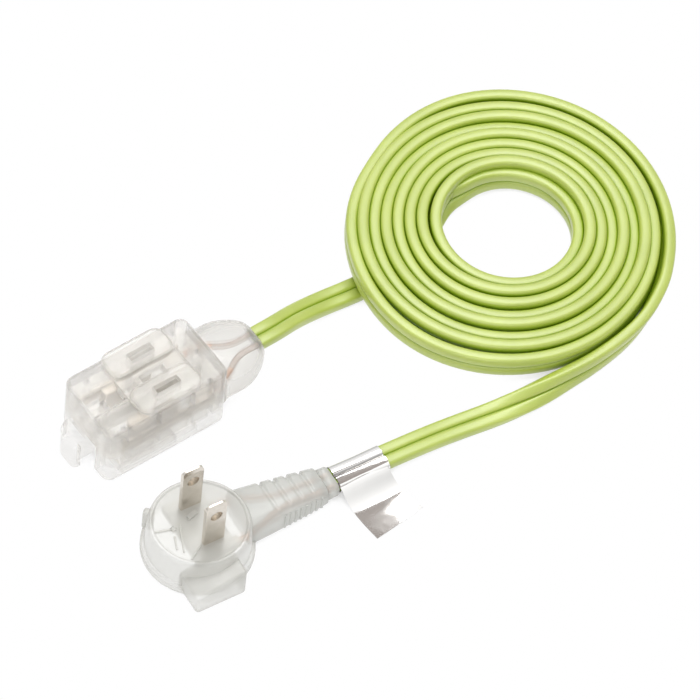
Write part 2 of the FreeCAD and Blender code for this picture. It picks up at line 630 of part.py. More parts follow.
def plug_blade(side):
    """A flat blade with cut tip corners and a hole, standing on its tail inside the plug."""
    word = SIDE_NAMES[side]
    body = doc.addObject("PartDesign::Body", "blade_body_" + word)
    half = "dims.blade_width / 2"
    top, bottom = "dims.plug_height + dims.blade_out", "dims.plug_height - dims.blade_in"
    tip = "%s - dims.blade_chamfer * 0.7" % half
    shoulder = top + " - dims.blade_chamfer"
    outline = sketch_outline(body, "blade_outline_" + word, "XZ_Plane",
                             [("-(%s)" % half, bottom), (half, bottom), (half, shoulder), (tip, top),
                              ("-(%s)" % tip, top), ("-(%s)" % half, shoulder)])
    pad = body.newObject("PartDesign::Pad", "blade_pad_" + word)
    pad.Profile = outline
    pad.SideType = "Symmetric"
    bind(pad, Length="dims.blade_thickness")
    hole = body.newObject("Sketcher::SketchObject", "blade_hole_" + word)
    hole.AttachmentSupport = ([f for f in body.Origin.OriginFeatures if f.Role == "XZ_Plane"][0], [""])
    hole.MapMode = "FlatFace"
    height = size("plug_height") + size("blade_hole_up")
    hole.addGeometry(Part.Circle(Vector(0, height, 0), Vector(0, 0, 1), size("blade_hole_radius")))
    hole.addConstraint(Sketcher.Constraint("PointOnObject", 0, 3, -2))
    number = hole.addConstraint(Sketcher.Constraint("DistanceY", -1, 1, 0, 3, height))
    hole.setExpression("Constraints[%d]" % number, "dims.plug_height + dims.blade_hole_up")
    number = hole.addConstraint(Sketcher.Constraint("Radius", 0, size("blade_hole_radius")))
    hole.setExpression("Constraints[%d]" % number, "dims.blade_hole_radius")
    pocket = body.newObject("PartDesign::Pocket", "blade_pocket_" + word)
    pocket.Profile = hole
    pocket.Type = "ThroughAll"
    pocket.SideType = "Symmetric"
    doc.recompute()
    solid_area = size("blade_width") * (size("blade_out") + size("blade_in")) * size("blade_thickness")
    print("blade_%s: volume %.1f mm3 of a plain bar's %.1f mm3" % (word, body.Shape.Volume, solid_area))
    across = Vector(size("blade_x"), side * size("slot_spacing") / 2, 0)
    body.Placement = plug_placement() * Placement(across, Rotation())
    return body


def blade_carrier(blades):
    """The stiff insert that holds both blades while the plug is moulded round them."""
    plate = doc.addObject("Part::Box", "carrier_plate")
    bind(plate, Length="dims.carrier_length", Width="dims.carrier_width", Height="dims.carrier_height")
    plate.Placement = plug_placement() * Placement(
        Vector(-size("carrier_length") / 2, -size("carrier_width") / 2, size("carrier_z")), Rotation())
    first = boolean("Cut", "carrier_cut_far", plate, blades[FAR_SIDE])
    return boolean("Cut", "carrier_cut_near", first, blades[NEAR_SIDE])


def crimp_spot(side, beyond_lug=0.0):
    """A point on a plug crimp's axis: at the blade's edge, or further along."""
    above_tail = 1.7 - size("wire_radius")
    return plug_spot(size("blade_x") + size("blade_width") / 2 + beyond_lug, side * size("slot_spacing") / 2,
                     size("plug_height") - size("blade_in") + above_tail)


def plug_conductor(side):
    """Bare copper from the blade's crimp to the end of the strain relief."""
    core, cord_z = side * size("core_spacing") / 2, size("relief_cord_z")
    end = size("relief_end") + size("relief_collar")
    points = [crimp_spot(side, size("lug_length")), crimp_spot(side, 7.9), plug_spot(24.0, core, 5.0),
              plug_spot(end - 7, core, cord_z), plug_spot(end, core, cord_z)]
    return shaped("plug_conductor_shape_" + SIDE_NAMES[side], wire_run(points))


def plug_crimp(side):
    """A barrel that squeezes the conductor, with a lug against the blade's edge."""
    along = plug_placement().Rotation.multVec(Vector(1, 0, 0))
    tube = crimp_barrel(crimp_spot(side, size("lug_length")), along, size("plug_crimp_radius"),
                        size("plug_crimp_length"))
    lug = Part.makeCylinder(size("plug_crimp_radius"), size("lug_length"), crimp_spot(side), along)
    return shaped("plug_crimp_shape_" + SIDE_NAMES[side], tube.fuse(lug).removeSplitter())


def plug_body(inner):
    """The moulded disc with its flange, face and finger tab, less everything that it is moulded round."""
    body = doc.addObject("PartDesign::Body", "plug_disc")
    profile = sketch_outline(body, "disc_profile", "XZ_Plane", [
        ("0", "0"), ("dims.plug_flange_radius - 0.8", "0"), ("dims.plug_flange_radius", "0.8"),
        ("dims.plug_flange_radius", "dims.plug_flange_height - 0.5"),
        ("dims.plug_flange_radius - 0.5", "dims.plug_flange_height"),
        ("dims.plug_skirt_radius", "dims.plug_flange_height"),
        ("dims.plug_face_radius + 0.25", "dims.plug_height - 0.8"),
        ("dims.plug_face_radius - 0.6", "dims.plug_height"), ("0", "dims.plug_height")])
    turn = body.newObject("PartDesign::Revolution", "disc_turn")
    turn.Profile = profile
    turn.ReferenceAxis = (profile, ["V_Axis"])
    turn.Angle = 360
    doc.recompute()
    body.Placement = plug_placement()
    tab_body = doc.addObject("PartDesign::Body", "finger_tab")
    outline = sketch_outline(tab_body, "tab_outline", "XZ_Plane", [
        ("dims.tab_start", "0"), ("dims.tab_end", "0"), ("dims.tab_end", "dims.tab_high"),
        ("dims.tab_start", "dims.tab_low")])
    tab_pad = tab_body.newObject("PartDesign::Pad", "tab_pad")
    tab_pad.Profile = outline
    bind(tab_pad, Length="dims.tab_reach")
    tab_body.Placement = plug_placement()
    tab = rounded("finger_tab_round", tab_body, "edge_radius", lambda edge: upright(edge) and near_tab_edge(edge))
    joined = boolean("MultiFuse", "plug_joined", body, tab)
    tools = boolean("MultiFuse", "plug_tools", *inner)
    return boolean("Cut", "plug_moulding", joined, tools)


def near_tab_edge(edge):
    local = plug_placement().inverse().multVec(edge.Vertexes[0].Point)
    return local.y < -size("tab_reach") + 1


# Strain relief sections along the plug's axis: x, half width, lowest and highest z, corner radius
RELIEF_SECTIONS = [(13.2, 7.0, 0.6, 11.2, 3.4), (20.0, 6.7, 0.4, 10.2, 3.4), (31.0, 5.8, 0.3, 8.8, 3.2),
                   (40.2, 4.8, 0.3, 7.4, 2.6)]
RIB_SLICES = ((-1.35, 0.7), (-0.8, 0.0), (0.8, 0.0), (1.35, 0.7))
FIRST_RIB, RIB_PITCH, GROOVE_DEPTH, RIB_STEP = 24.05, 3.7, 0.7, 0.15


def relief_size(x):
    """Half width, low and high of the strain relief at this distance, between its sections."""
    for (x0, half0, low0, high0, _), (x1, half1, low1, high1, _) in zip(RELIEF_SECTIONS, RELIEF_SECTIONS[1:]):
        if x <= x1:
            share = (x - x0) / (x1 - x0)
            return (half0 + (half1 - half0) * share, low0 + (low1 - low0) * share, high0 + (high1 - high0) * share)
    return RELIEF_SECTIONS[-1][1:4]


def relief_core():
    """The smooth taper, drawn in where the ribs stand on it."""
    wires = []
    for x, half, low, high, radius in RELIEF_SECTIONS:
        drawn_in = GROOVE_DEPTH if x > FIRST_RIB else 0
        wires.append(rounded_section(x, half - drawn_in, low + drawn_in * 0.4, high - drawn_in, radius))
    return Part.makeLoft(wires, True, True)


def relief_rib(middle):
    half, low, high = relief_size(middle)
    slices = []
    for offset, shrink in RIB_SLICES:
        slices.append(rounded_section(middle + offset, half - shrink + RIB_STEP, low + shrink * 0.4,
                                      high - shrink + RIB_STEP, 2.5))
    return Part.makeLoft(slices, True, True)


def relief_collar():
    end, z = size("relief_end"), size("relief_cord_z")
    return Part.makeLoft([rounded_section(end - 0.5, 4.7, z - 2.9, z + 2.9, 1.6),
                          rounded_section(end + size("relief_collar"), 4.5, z - 2.7, z + 2.7, 1.6)], True, True)


def plug_strain_relief(conductors, disc):
    """A tapered neck, smooth at the plug, then ribbed, with a small collar round the cord."""
    neck = relief_core()
    for number in range(int(size("relief_ribs"))):
        neck = neck.fuse(relief_rib(FIRST_RIB + number * RIB_PITCH))
    neck = neck.fuse(relief_collar()).removeSplitter()
    neck.Placement = plug_placement()
    neck = neck.cut(disc)
    for wire in conductors:
        neck = neck.cut(wire.Shape)
    return shaped("relief_shape", max(neck.Solids, key=lambda solid: solid.Volume))


# Cord: coil, lead, tail and the twists between them


def coil_frame():
    """From the coil's own flat frame, longer axis along X, to its tilted place on the surface."""
    turned = Placement(Vector(size("coil_x"), size("coil_y"), size("cord_width") / 2),
                       Rotation(Vector(0, 0, 1), size("coil_axis")))
    hinge = Vector(size("coil_low_x"), 0, 0)
    tilt = Placement(Vector(0, 0, 0), Rotation(Vector(0, 1, 0), size("coil_tilt")), hinge)
    return tilt * turned


END_STRAIGHT = 3.0


def direction(angle):
    return Vector(math.cos(math.radians(angle)), math.sin(math.radians(angle)), 0)


def coil_arcs():
    """The coil from its inner end outward as (centre, radius, first angle, last angle), in its own frame.

    Seen from above it runs clockwise. Each quarter turn is an arc that is larger than the one before, the
    radii alternate about that growth, which draws the coil out into an oval, and the growth is uneven, which
    moves each turn's centre."""
    turns, pitch, inner = size("coil_turns"), size("coil_pitch"), size("coil_inner")
    first_oval, last_oval = size("coil_oval_inner"), size("coil_oval_outer")
    drift = Rotation(Vector(0, 0, 1), -size("coil_axis")).multVec(
        Vector(size("coil_drift_x"), size("coil_drift_y"), 0))
    begin = size("coil_inner_angle") - size("coil_axis")
    finish = begin - 360 * turns
    arcs, start, uneven, centre, old_radius = [], begin, 0.0, None, 0.0
    while start > finish + 1e-6:
        stop = max(math.ceil((start - 45) / 90 - 1e-9) * 90 - 45, finish)
        middle = (start + stop) / 2
        done = (begin - middle) / 360
        oval = first_oval + (last_oval - first_oval) * done / turns
        if math.cos(math.radians(2 * middle)) > 0:
            oval = -oval
        loose = size("coil_loose") * max(0, done - turns + 1)
        radius = (inner + pitch * done + loose + uneven) * (1 + oval)
        if centre is None:
            centre = direction(90) * (-math.sqrt(2) * first_oval * inner)
        else:
            centre = centre + direction(start) * (old_radius - radius)
        arcs.append((Vector(centre), radius, start, stop))
        uneven -= drift.dot(direction(stop)) / 2
        old_radius, start = radius, stop
    return arcs


def arc_spot(centre, radius, angle):
    return centre + direction(angle) * radius


def tangent(angle):
    """The way outward along the coil, which runs clockwise seen from above."""
    return Vector(math.sin(math.radians(angle)), -math.cos(math.radians(angle)), 0)


def coil_ends(arcs):
    """Inner and outer end points, each one short straight beyond its arc, and the way outward there."""
    centre, radius, angle, _ = arcs[0]
    inner = arc_spot(centre, radius, angle) - tangent(angle) * END_STRAIGHT
    centre, radius, _, last = arcs[-1]
    outer = arc_spot(centre, radius, last) + tangent(last) * END_STRAIGHT
    return inner, tangent(angle), outer, tangent(last)


def coil_points(arcs, step=6.0):
    points = []
    for centre, radius, start, stop in arcs:
        count = max(2, int(abs(start - stop) / step))
        for number in range(count):
            angle = start + (stop - start) * number / count
            points.append((angle, arc_spot(centre, radius, angle)))
    return points


def coil_gap(arcs):
    """Least distance from one turn's centre line to the next turn's, less the solid's thickness."""
    points = coil_points(arcs)
    least = 1e9
    for number, (angle, spot) in enumerate(points):
        for other_angle, other in points[number + 1:]:
            if angle - other_angle > 180:
                least = min(least, spot.distanceToPoint(other))
    return least - size("coil_thickness")


def cord_coil(arcs):
    inner, inner_way, outer, outer_way = coil_ends(arcs)
    edges = [Part.LineSegment(inner, inner + inner_way * END_STRAIGHT).toShape()]
    for centre, radius, start, stop in arcs:
        middle = (start + stop) / 2
        edges.append(Part.Arc(arc_spot(centre, radius, start), arc_spot(centre, radius, middle),
                              arc_spot(centre, radius, stop)).toShape())
    edges.append(Part.LineSegment(outer - outer_way * END_STRAIGHT, outer).toShape())
    path = Part.Wire(edges)
    section = flat_section(inner, inner_way, Vector(0, 0, 1), size("cord_width"), size("coil_thickness"))
    solid = swept(path, section)
    report_volume("cord_coil", solid, section, path.Length)
    print("cord_coil: least gap to itself %.2f mm" % coil_gap(arcs))
    feature = shaped("coil_shape", solid)
    feature.Placement = coil_frame()
    return feature


def cord_pieces():
    """Lead from the boot to the coil, the coil, the tail to the plug, and the two twists."""
    arcs = coil_arcs()
    frame = coil_frame()
    coil = cord_coil(arcs)
    inner, inner_way, outer, outer_way = coil_ends(arcs)
    on_edge = frame.Rotation.multVec(Vector(0, 0, 1))
    lie, exit_z = size("cord_lie"), size("parting_z")
    lead_points = [Vector(size("block_end") + size("boot_length"), 0, exit_z), Vector(37.2, 0.0, exit_z),
                   Vector(46.0, 2.6, 7.3), Vector(56.5, 4.4, 2.9), Vector(67.5, 3.6, lie), Vector(79.0, 3.0, lie),
                   Vector(88.5, 2.3, lie), Vector(95.5, 3.1, lie)]
    lead = flat_run("cord_lead", lead_points)
    lead_way = (lead_points[-1] - lead_points[-2]).normalize()

    plug_end, plug_cord_z = size("relief_end") + size("relief_collar"), size("relief_cord_z")
    tail_points = [plug_spot(plug_end, 0, plug_cord_z), plug_spot(plug_end + 22.3, 0, plug_cord_z),
                   Vector(62.0, -48.9, lie + 0.1), Vector(76.0, -51.4, lie), Vector(92.0, -53.5, lie),
                   Vector(109.0, -54.3, lie)]
    tail = flat_run("cord_tail", tail_points)
    tail_way = (tail_points[-1] - tail_points[-2]).normalize()

    up = Vector(0, 0, 1)
    inner_twist = twist(lead_points[-1], lead_way, up.cross(lead_way) * -1, frame.multVec(inner),
                        frame.Rotation.multVec(inner_way), on_edge)
    outer_twist = twist(tail_points[-1], tail_way, up.cross(tail_way) * -1, frame.multVec(outer),
                        frame.Rotation.multVec(outer_way) * -1, on_edge)
    return {"cord_lead": shaped("lead_shape", lead), "cord_inner_twist": shaped("inner_twist_shape", inner_twist),
            "cord_coil": coil, "cord_outer_twist": shaped("outer_twist_shape", outer_twist),
            "cord_tail": shaped("tail_shape", tail)}, tail_points


def foil_label(tail_points):
    """A foil sleeve round the cord's first straight stretch, with its flag lying down to the surface."""
    along = tail_points[1] - tail_points[0]
    along.normalize()
    across = Vector(0, 0, 1).cross(along)
    start = tail_points[0] + along * 0.4
    stop = start + along * size("label_length")
    clear, skin = 0.12, size("label_thickness")
    width, thick = size("cord_width"), size("cord_thickness")

    def sleeve(extra):
        first = flat_section(start, along, across, width + 2 * extra + 1.2 * (extra > clear), thick + 2 * extra)
        last = flat_section(stop, along, across, width + 2 * extra, thick + 2 * extra)
        return Part.makeLoft([first, last], True, True)
    band = sleeve(clear + skin).cut(swept(Part.Wire(Part.LineSegment(start - along, stop + along).toShape()),
                                          flat_section(start - along, along, across, width + 2 * clear,
                                                       thick + 2 * clear)))
    edge = width / 2 + clear + skin / 2
    top_z, low_z = 1.5, skin / 2 + 0.02
    corners = []
    for base, slant in ((start + along * 0.2, 1.8), (stop - along * 0.2, 2.2)):
        near = base - across * edge
        near.z = near.z - top_z * 0.1
        far = base - across * (edge + size("label_flag")) + along * slant
        far.z = low_z
        corners.append((near, far))
    (near_a, far_a), (near_b, far_b) = corners
    middle_a, middle_b = (near_a + far_a) * 0.5, (near_b + far_b) * 0.5
    middle_a.z += 0.5
    middle_b.z += 0.9
    lift = Vector(0, 0, skin / 2)
    flag = None
    for first, second in (((near_a, near_b), (middle_a, middle_b)), ((middle_a, middle_b), (far_a, far_b))):
        loops = []
        for a, b in (first, second):
            loops.append(Part.makePolygon([a - lift, b - lift, b + lift, a + lift, a - lift]))
        piece = Part.makeLoft(loops, True, True)
        flag = piece if flag is None else flag.fuse(piece)
    label = band.fuse(flag).removeSplitter()
    return shaped("label_shape", label)


# Build every piece
conductors = {side: outlet_conductor(side) for side in SIDE_NAMES}
wires_out = boolean("MultiFuse", "wires_out", conductors[FAR_SIDE], conductors[NEAR_SIDE])
keep("upper_shell", boolean("Cut", "upper_shell_cut", upper_shell(), wires_out))
keep("lower_shell", boolean("Cut", "lower_shell_cut", lower_shell(), wires_out))
keep("top_cover", upper_cover())
keep("bottom_cover", lower_cover())
for side, word in SIDE_NAMES.items():
    keep("contact_strip_" + word, contact_strip(side))
    keep("outlet_crimp_" + word, outlet_crimp(side))
    keep("outlet_conductor_" + word, conductors[side])
keep("insulating_wall", insulating_wall())
keep("outlet_boot", outlet_boot(conductors.values()))

blades = {side: plug_blade(side) for side in SIDE_NAMES}
plug_wires = {side: plug_conductor(side) for side in SIDE_NAMES}
plug_crimps = {side: plug_crimp(side) for side in SIDE_NAMES}
doc.recompute()
carrier = keep("blade_carrier", blade_carrier(blades))
for side, word in SIDE_NAMES.items():
    keep("blade_" + word, blades[side])
    keep("plug_crimp_" + word, plug_crimps[side])
    keep("plug_conductor_" + word, plug_wires[side])
plug = keep("plug_body", plug_body([carrier, *blades.values(), *plug_crimps.values(), *plug_wires.values()]))
doc.recompute()
disc_and_tab = doc.getObject("plug_joined").Shape
keep("plug_strain_relief", plug_strain_relief(plug_wires.values(), disc_and_tab))

cord, tail_route = cord_pieces()
for node, thing in cord.items():
    keep(node, thing)
keep("foil_label", foil_label(tail_route))
doc.recompute()

# Check every object, then write each piece
for thing in doc.Objects:
    if "Invalid" in thing.State or "Error" in thing.State:
        raise RuntimeError("%s failed: %s" % (thing.Name, thing.State))
for thing in nodes:
    if thing.Shape.isNull() or not thing.Shape.isValid() or not thing.Shape.Solids:
        raise RuntimeError("%s has no valid solid" % thing.Label)
os.makedirs("parts", exist_ok=True)
for thing in nodes:
    thing.Shape.exportStep("parts/%s.step" % thing.Label)
    bounds = thing.Shape.BoundBox
    print("%-22s %d solid(s), %8.1f mm3, x %.1f..%.1f y %.1f..%.1f z %.2f..%.2f"
          % (thing.Label, len(thing.Shape.Solids), thing.Shape.Volume, bounds.XMin, bounds.XMax,
             bounds.YMin, bounds.YMax, bounds.ZMin, bounds.ZMax))
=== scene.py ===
"""Looks of a flat extension cord: clear outlet block, cord coiled on edge, frosted plug and foil label."""
import json
import math

import bmesh
import bpy
from mathutils import Matrix, Vector


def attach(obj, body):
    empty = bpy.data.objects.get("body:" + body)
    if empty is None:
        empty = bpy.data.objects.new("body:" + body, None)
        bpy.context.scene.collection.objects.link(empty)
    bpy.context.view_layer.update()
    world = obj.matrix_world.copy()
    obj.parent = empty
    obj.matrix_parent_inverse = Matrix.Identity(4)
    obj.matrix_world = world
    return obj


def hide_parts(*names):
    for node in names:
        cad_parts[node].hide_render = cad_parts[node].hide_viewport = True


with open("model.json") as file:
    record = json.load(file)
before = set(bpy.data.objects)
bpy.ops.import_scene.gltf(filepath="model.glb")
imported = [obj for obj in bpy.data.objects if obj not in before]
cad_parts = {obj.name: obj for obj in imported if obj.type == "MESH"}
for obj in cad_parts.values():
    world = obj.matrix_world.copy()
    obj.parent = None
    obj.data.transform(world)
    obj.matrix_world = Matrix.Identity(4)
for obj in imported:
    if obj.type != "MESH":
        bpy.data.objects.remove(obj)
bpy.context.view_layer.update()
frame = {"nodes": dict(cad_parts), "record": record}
MM = 0.001
SIDES = {"far": 1, "near": -1}

# The photograph's camera, in the part's frame: millimetres and degrees
LOOK_AT = Vector((56.2, -11.3, 0.0)) * MM
FORWARD = Vector((0.3804, 0.4292, -0.8192))
DISTANCE = 2.0
PICTURE_TURN = 7.06
PIXELS_ACROSS, FOCAL_PIXELS = 700, 7208
SENSOR = 36.0


# Nodes, colours and objects


def linear(hex_colour):
    """An sRGB hex colour as linear RGBA."""
    parts = [int(hex_colour[i:i + 2], 16) / 255 for i in (1, 3, 5)]
    return tuple(c / 12.92 if c <= 0.04045 else ((c + 0.055) / 1.055) ** 2.4 for c in parts) + (1.0,)


def add(tree, kind, values=None, links=None, **settings):
    """A shader node with its settings, its socket values and the sockets that feed it."""
    made = tree.nodes.new("ShaderNode" + kind)
    for name, value in settings.items():
        setattr(made, name, value)
    for name, value in (values or {}).items():
        made.inputs[name].default_value = value
    for name, source in (links or {}).items():
        tree.links.new(source, made.inputs[name])
    return made


def new_material(name, values):
    """A material with one Principled shader, and its tree and shader."""
    made = bpy.data.materials.new(name)
    made.use_nodes = True
    tree = made.node_tree
    shader = tree.nodes["Principled BSDF"]
    for socket, value in values.items():
        shader.inputs[socket].default_value = value
    return made, tree, shader


def bare_tree(owner):
    """The node tree of a material or a world, emptied."""
    owner.use_nodes = True
    owner.node_tree.nodes.clear()
    return owner.node_tree


def noise(tree, period_mm, detail=2.0, stretch=(1, 1, 1)):
    """Noise on Object coordinates whose blotches are about period_mm across."""
    place = add(tree, "TexCoord")
    scale = [axis / (period_mm * MM) for axis in stretch]
    turned = add(tree, "Mapping", {"Scale": scale}, {"Vector": place.outputs["Object"]})
    return add(tree, "TexNoise", {"Scale": 1.0, "Detail": detail}, {"Vector": turned.outputs["Vector"]})


def ramp(tree, source, stops):
    """Colours at places along a value."""
    made = add(tree, "ValToRGB", links={"Fac": source})
    points = made.color_ramp.elements
    while len(points) < len(stops):
        points.new(0.5)
    for point, (where, hex_colour) in zip(points, stops):
        point.position = where
        point.color = linear(hex_colour)
    return made.outputs["Color"]


def bump(tree, shader, height, depth_mm, strength):
    """Relief of a depth in millimetres, on the shader's normal."""
    made = add(tree, "Bump", {"Strength": strength, "Distance": depth_mm * MM}, {"Height": height})
    tree.links.new(made.outputs["Normal"], shader.inputs["Normal"])


def in_scene(name, data):
    """An object that shows this data, linked to the scene."""
    made = bpy.data.objects.new(name, data)
    bpy.context.scene.collection.objects.link(made)
    return made


def mesh_object(name, shape):
    """An object whose mesh is this bmesh, which is used up."""
    mesh = bpy.data.meshes.new(name)
    shape.to_mesh(mesh)
    shape.free()
    return in_scene(name, mesh)


# Finishes

# Where on the noise, which stays near its middle, each finish has its lower and its upper tone
TONE_LOW, TONE_HIGH = 0.3, 0.7


def soft_vinyl():
    """Flexible PVC jacket, extruded: a satin skin of uneven colour, with painted shade where turns touch."""
    made, tree, shader = new_material("soft_vinyl_jacket", {
        "Roughness": 0.42, "IOR": 1.5, "Subsurface Weight": 0.25, "Subsurface Scale": 1.0 * MM,
        "Subsurface Radius": (0.9, 1.0, 0.2), "Coat IOR": 1.8, "Coat Roughness": 0.42})
    tone = noise(tree, 14, detail=3)
    skin_colour = ramp(tree, tone.outputs["Fac"], [(TONE_LOW, "#B0C146"), (TONE_HIGH, "#BCCC53")])
    # Painted shade: where turns touch, ambient occlusion darkens the colour to a deep green and thins the
    # coat's gloss
    crease_shade = add(tree, "AmbientOcclusion", {"Distance": 2.2 * MM}, samples=6)
    unshaded_share = add(tree, "MapRange", {"From Min": 0.3, "From Max": 0.75}, {"Value": crease_shade.outputs["AO"]})
    mixed = add(tree, "Mix", {"A": linear("#8CAC10")},
                {"Factor": unshaded_share.outputs["Result"], "B": skin_colour}, data_type="RGBA")
    tree.links.new(mixed.outputs["Result"], shader.inputs["Base Color"])
    tree.links.new(unshaded_share.outputs["Result"], shader.inputs["Coat Weight"])
    # An extruded skin's grain is far finer: drawn as coarse as it needs to show
    grain = noise(tree, 0.7, detail=3)
    bump(tree, shader, grain.outputs["Fac"], 0.015, 0.5)
    return made


def clear_plastic(name, tint, bend, passed, face_cloud, edge_cloud):
    """Clear plastic, injection-moulded: its walls are clear face on, milky edge on, and ripple a little."""
    made, tree, shader = new_material(name, {
        "Base Color": linear(tint), "Roughness": 0.04, "IOR": bend, "Transmission Weight": passed,
        "Coat Weight": 1.0, "Coat Roughness": 0.04})
    facing = add(tree, "LayerWeight", {"Blend": 0.5})
    cloud = add(tree, "MapRange", {"To Min": face_cloud, "To Max": edge_cloud},
                {"Value": facing.outputs["Facing"]})
    tree.links.new(cloud.outputs["Result"], shader.inputs["Alpha"])
    flow = noise(tree, 2.2, detail=4)
    bump(tree, shader, flow.outputs["Fac"], 0.07, 0.9)
    return made


def frosted_vinyl(name, tint, face_cloud, edge_cloud):
    """Translucent flexible PVC, moulded: a frosted body that passes a little light, with a soft shine."""
    made, tree, shader = new_material(name, {
        "Base Color": linear(tint), "Roughness": 0.25, "IOR": 1.3, "Transmission Weight": 0.25,
        "Coat Weight": 0.5, "Coat Roughness": 0.14})
    facing = add(tree, "LayerWeight", {"Blend": 0.4})
    cloud = add(tree, "MapRange", {"To Min": face_cloud, "To Max": edge_cloud},
                {"Value": facing.outputs["Facing"]})
    tree.links.new(cloud.outputs["Result"], shader.inputs["Alpha"])
    skin_grain = noise(tree, 2.5, detail=3)
    bump(tree, shader, skin_grain.outputs["Fac"], 0.05, 0.5)
    return made


def metal(name, low, high, rough, grain_mm, stretch):
    """Bare metal: two near tones in streaks drawn out along the way that the piece was worked."""
    made, tree, shader = new_material(name, {"Metallic": 1.0, "Roughness": rough})
    tone = noise(tree, grain_mm, detail=4, stretch=stretch)
    tree.links.new(ramp(tree, tone.outputs["Fac"], [(TONE_LOW, low), (TONE_HIGH, high)]),
                   shader.inputs["Base Color"])
    bump(tree, shader, tone.outputs["Fac"], 0.02, 0.4)
    return made


def insert_plastic():
    """Stiff plastic, moulded and uncoloured: a pale, half matt insert that shows faintly from outside."""
    made, tree, shader = new_material("insert_plastic", {"Roughness": 0.4, "Transmission Weight": 0.3})
    tone = noise(tree, 5)
    tree.links.new(ramp(tree, tone.outputs["Fac"], [(TONE_LOW, "#E6E4DE"), (TONE_HIGH, "#EFEEE9")]),
                   shader.inputs["Base Color"])
    return made


def mirror_foil():
    """Aluminised film, pressed on by hand: a mirror with soft dents, and painted shade that greys its folds.
    """
    made, tree, shader = new_material("mirror_foil", {"Metallic": 1.0, "Roughness": 0.12})
    # Painted shade: ambient occlusion turns the foil's colour grey in the cord's groove and in its folds
    crease_shade = add(tree, "AmbientOcclusion", {"Distance": 1.6 * MM}, samples=8)
    fold_shade = ramp(tree, crease_shade.outputs["AO"], [(0.6, "#7C7772"), (0.86, "#FBFAF8")])
    tree.links.new(fold_shade, shader.inputs["Base Color"])
    dents = noise(tree, 6, detail=1)
    bump(tree, shader, dents.outputs["Fac"], 0.25, 0.35)
    return made


# Nickel plate is a soft mirror. Stamped brass is matt, and pale through the clear plastic over it.
# Bare copper strands are warm, with streaks along the wire.
FINISHES = {
    "cord_jacket": soft_vinyl(),
    "clear_housing": clear_plastic("clear_polycarbonate", "#F8F5F0", 1.16, 0.66, 0.34, 0.92),
    "frosted_plastic": frosted_vinyl("frosted_vinyl", "#E8E7E1", 0.6, 0.9),
    "nickel_blade": metal("nickel_plate", "#DCD5CB", "#E6E0D7", 0.27, 1.2, (0.5, 1, 0.4)),
    "brass_strip": metal("stamped_brass", "#CEC6BC", "#DAD3CA", 0.5, 1.5, (0.3, 1, 1)),
    "copper_wire": metal("bare_copper", "#C49A80", "#D6B39C", 0.45, 0.6, (0.2, 1, 1)),
    "insulating_board": insert_plastic(),
    "label_foil": mirror_foil(),
}


def finish(piece, slot):
    """A piece's material, and the slot that names it."""
    piece.data.materials.clear()
    piece.data.materials.append(FINISHES[slot])


for row in frame["record"]["subparts"]:
    node = frame["nodes"][row["node"]]
    node.data.materials.clear()
    node.data.materials.append(FINISHES[row["material_slot"]])
# The covers and the boot read cloudier in the photo than the shells do
CLOUDY = clear_plastic("cloudy_polycarbonate", "#EDEAE4", 1.12, 0.52, 0.43, 0.94)
for name in ("top_cover", "bottom_cover", "outlet_boot"):
    frame["nodes"][name].data.materials[0] = CLOUDY


# The cord, one spline from the outlet's boot to the plug's collar

CORD_WIDTH, CORD_THICKNESS = 7.2, 3.35
# Height of the middle line where the cord lies flat on the surface
LIE = 1.8

# The coil stands on edge. What follows a radius, centre, oval or axis is its change from turn to turn, inward
TURNS, POINTS_PER_TURN = 8.41, 24
START_ANGLE = -50
OUTER_RADIUS, PITCH, PITCH_EASE = 46.89, 3.416, 0.003
COIL_CENTRE, CENTRE_DRIFT = (113.06, -6.32), (0.201, 0.097)
OVAL_OUTER, OVAL_STEP = 0.916, 0.008
LONG_AXIS, AXIS_STEP = 34.3, -1.5
# The coil rises to the left of LOW_X, where it rests on the lead
LOW_X, TILT, FLOOR_GAP = 163.0, math.tan(math.radians(3.1)), 0.05
# Along the coil, turns from its outer end: how far a turn stands off its neighbours, and how high it rides
LOOSE = [(0.0, 0.6), (0.06, 0.45), (0.12, 0.4), (0.2, 0.5), (0.32, 0.6), (0.39, 0.1), (0.45, -1.2),
         (0.54, 0.0), (0.6, -0.2), (0.7, 0.5), (0.8, 0.0), (0.9, -0.1), (1.1, -0.3), (1.3, 0.0), (7.0, 0.0),
         (7.35, -0.8), (7.6, -0.4), (7.9, 0.0), (9.0, 0.0)]
LIFT = [(0.0, 0.0), (0.85, 0.0), (1.29, -0.2), (1.8, 1.3), (2.04, 1.1), (2.4, -0.1), (2.9, -0.3), (3.3, -1.2),
        (3.8, 1.3), (4.04, 1.1), (4.3, 0.8), (4.8, -0.6), (5.1, -0.2), (5.3, 0.1), (5.8, 0.8), (6.04, 0.5),
        (6.3, -0.1), (6.8, 1.6), (7.3, 1.8), (7.8, 0.0), (8.2, -0.6), (9.0, -0.8)]
# Each point of the cord with its turn about its own line: 0 flat, 1 on edge, 2 flat with its other side up
LEAD = [((30.75, 0, 11.25), 0), ((37.2, 0.0, 11.25), 0), ((46.0, 2.6, 7.3), 0), ((56.5, 4.4, 2.9), 0),
        ((67.5, 3.6, LIE), 0), ((79.0, 3.0, LIE), 0), ((88.0, 3.2, LIE), 0), ((94.4, 6.6, LIE), 0.03)]
INNER_TURN = [((100.4, 11.2, 2.6), 0.22), ((106.4, 13.4, 4.2), 0.6)]
OUTER_TURN = [((136.9, -45.35, 4.3), 0.79), ((129.4, -49.5, 4.0), 0.83), ((120.6, -52.2, 3.8), 0.95)]
TAIL = [((108.9, -53.7, 3.8), 1.04), ((100.5, -53.7, 3.75), 1.15), ((92.6, -53.6, 3.5), 1.38),
        ((85.0, -52.9, 2.85), 1.68), ((76.0, -51.4, LIE), 1.95), ((62.0, -48.9, 1.9), 2),
        ((47.2, -48.1, 3.9), 2), ((24.99, -45.92, 3.9), 2)]
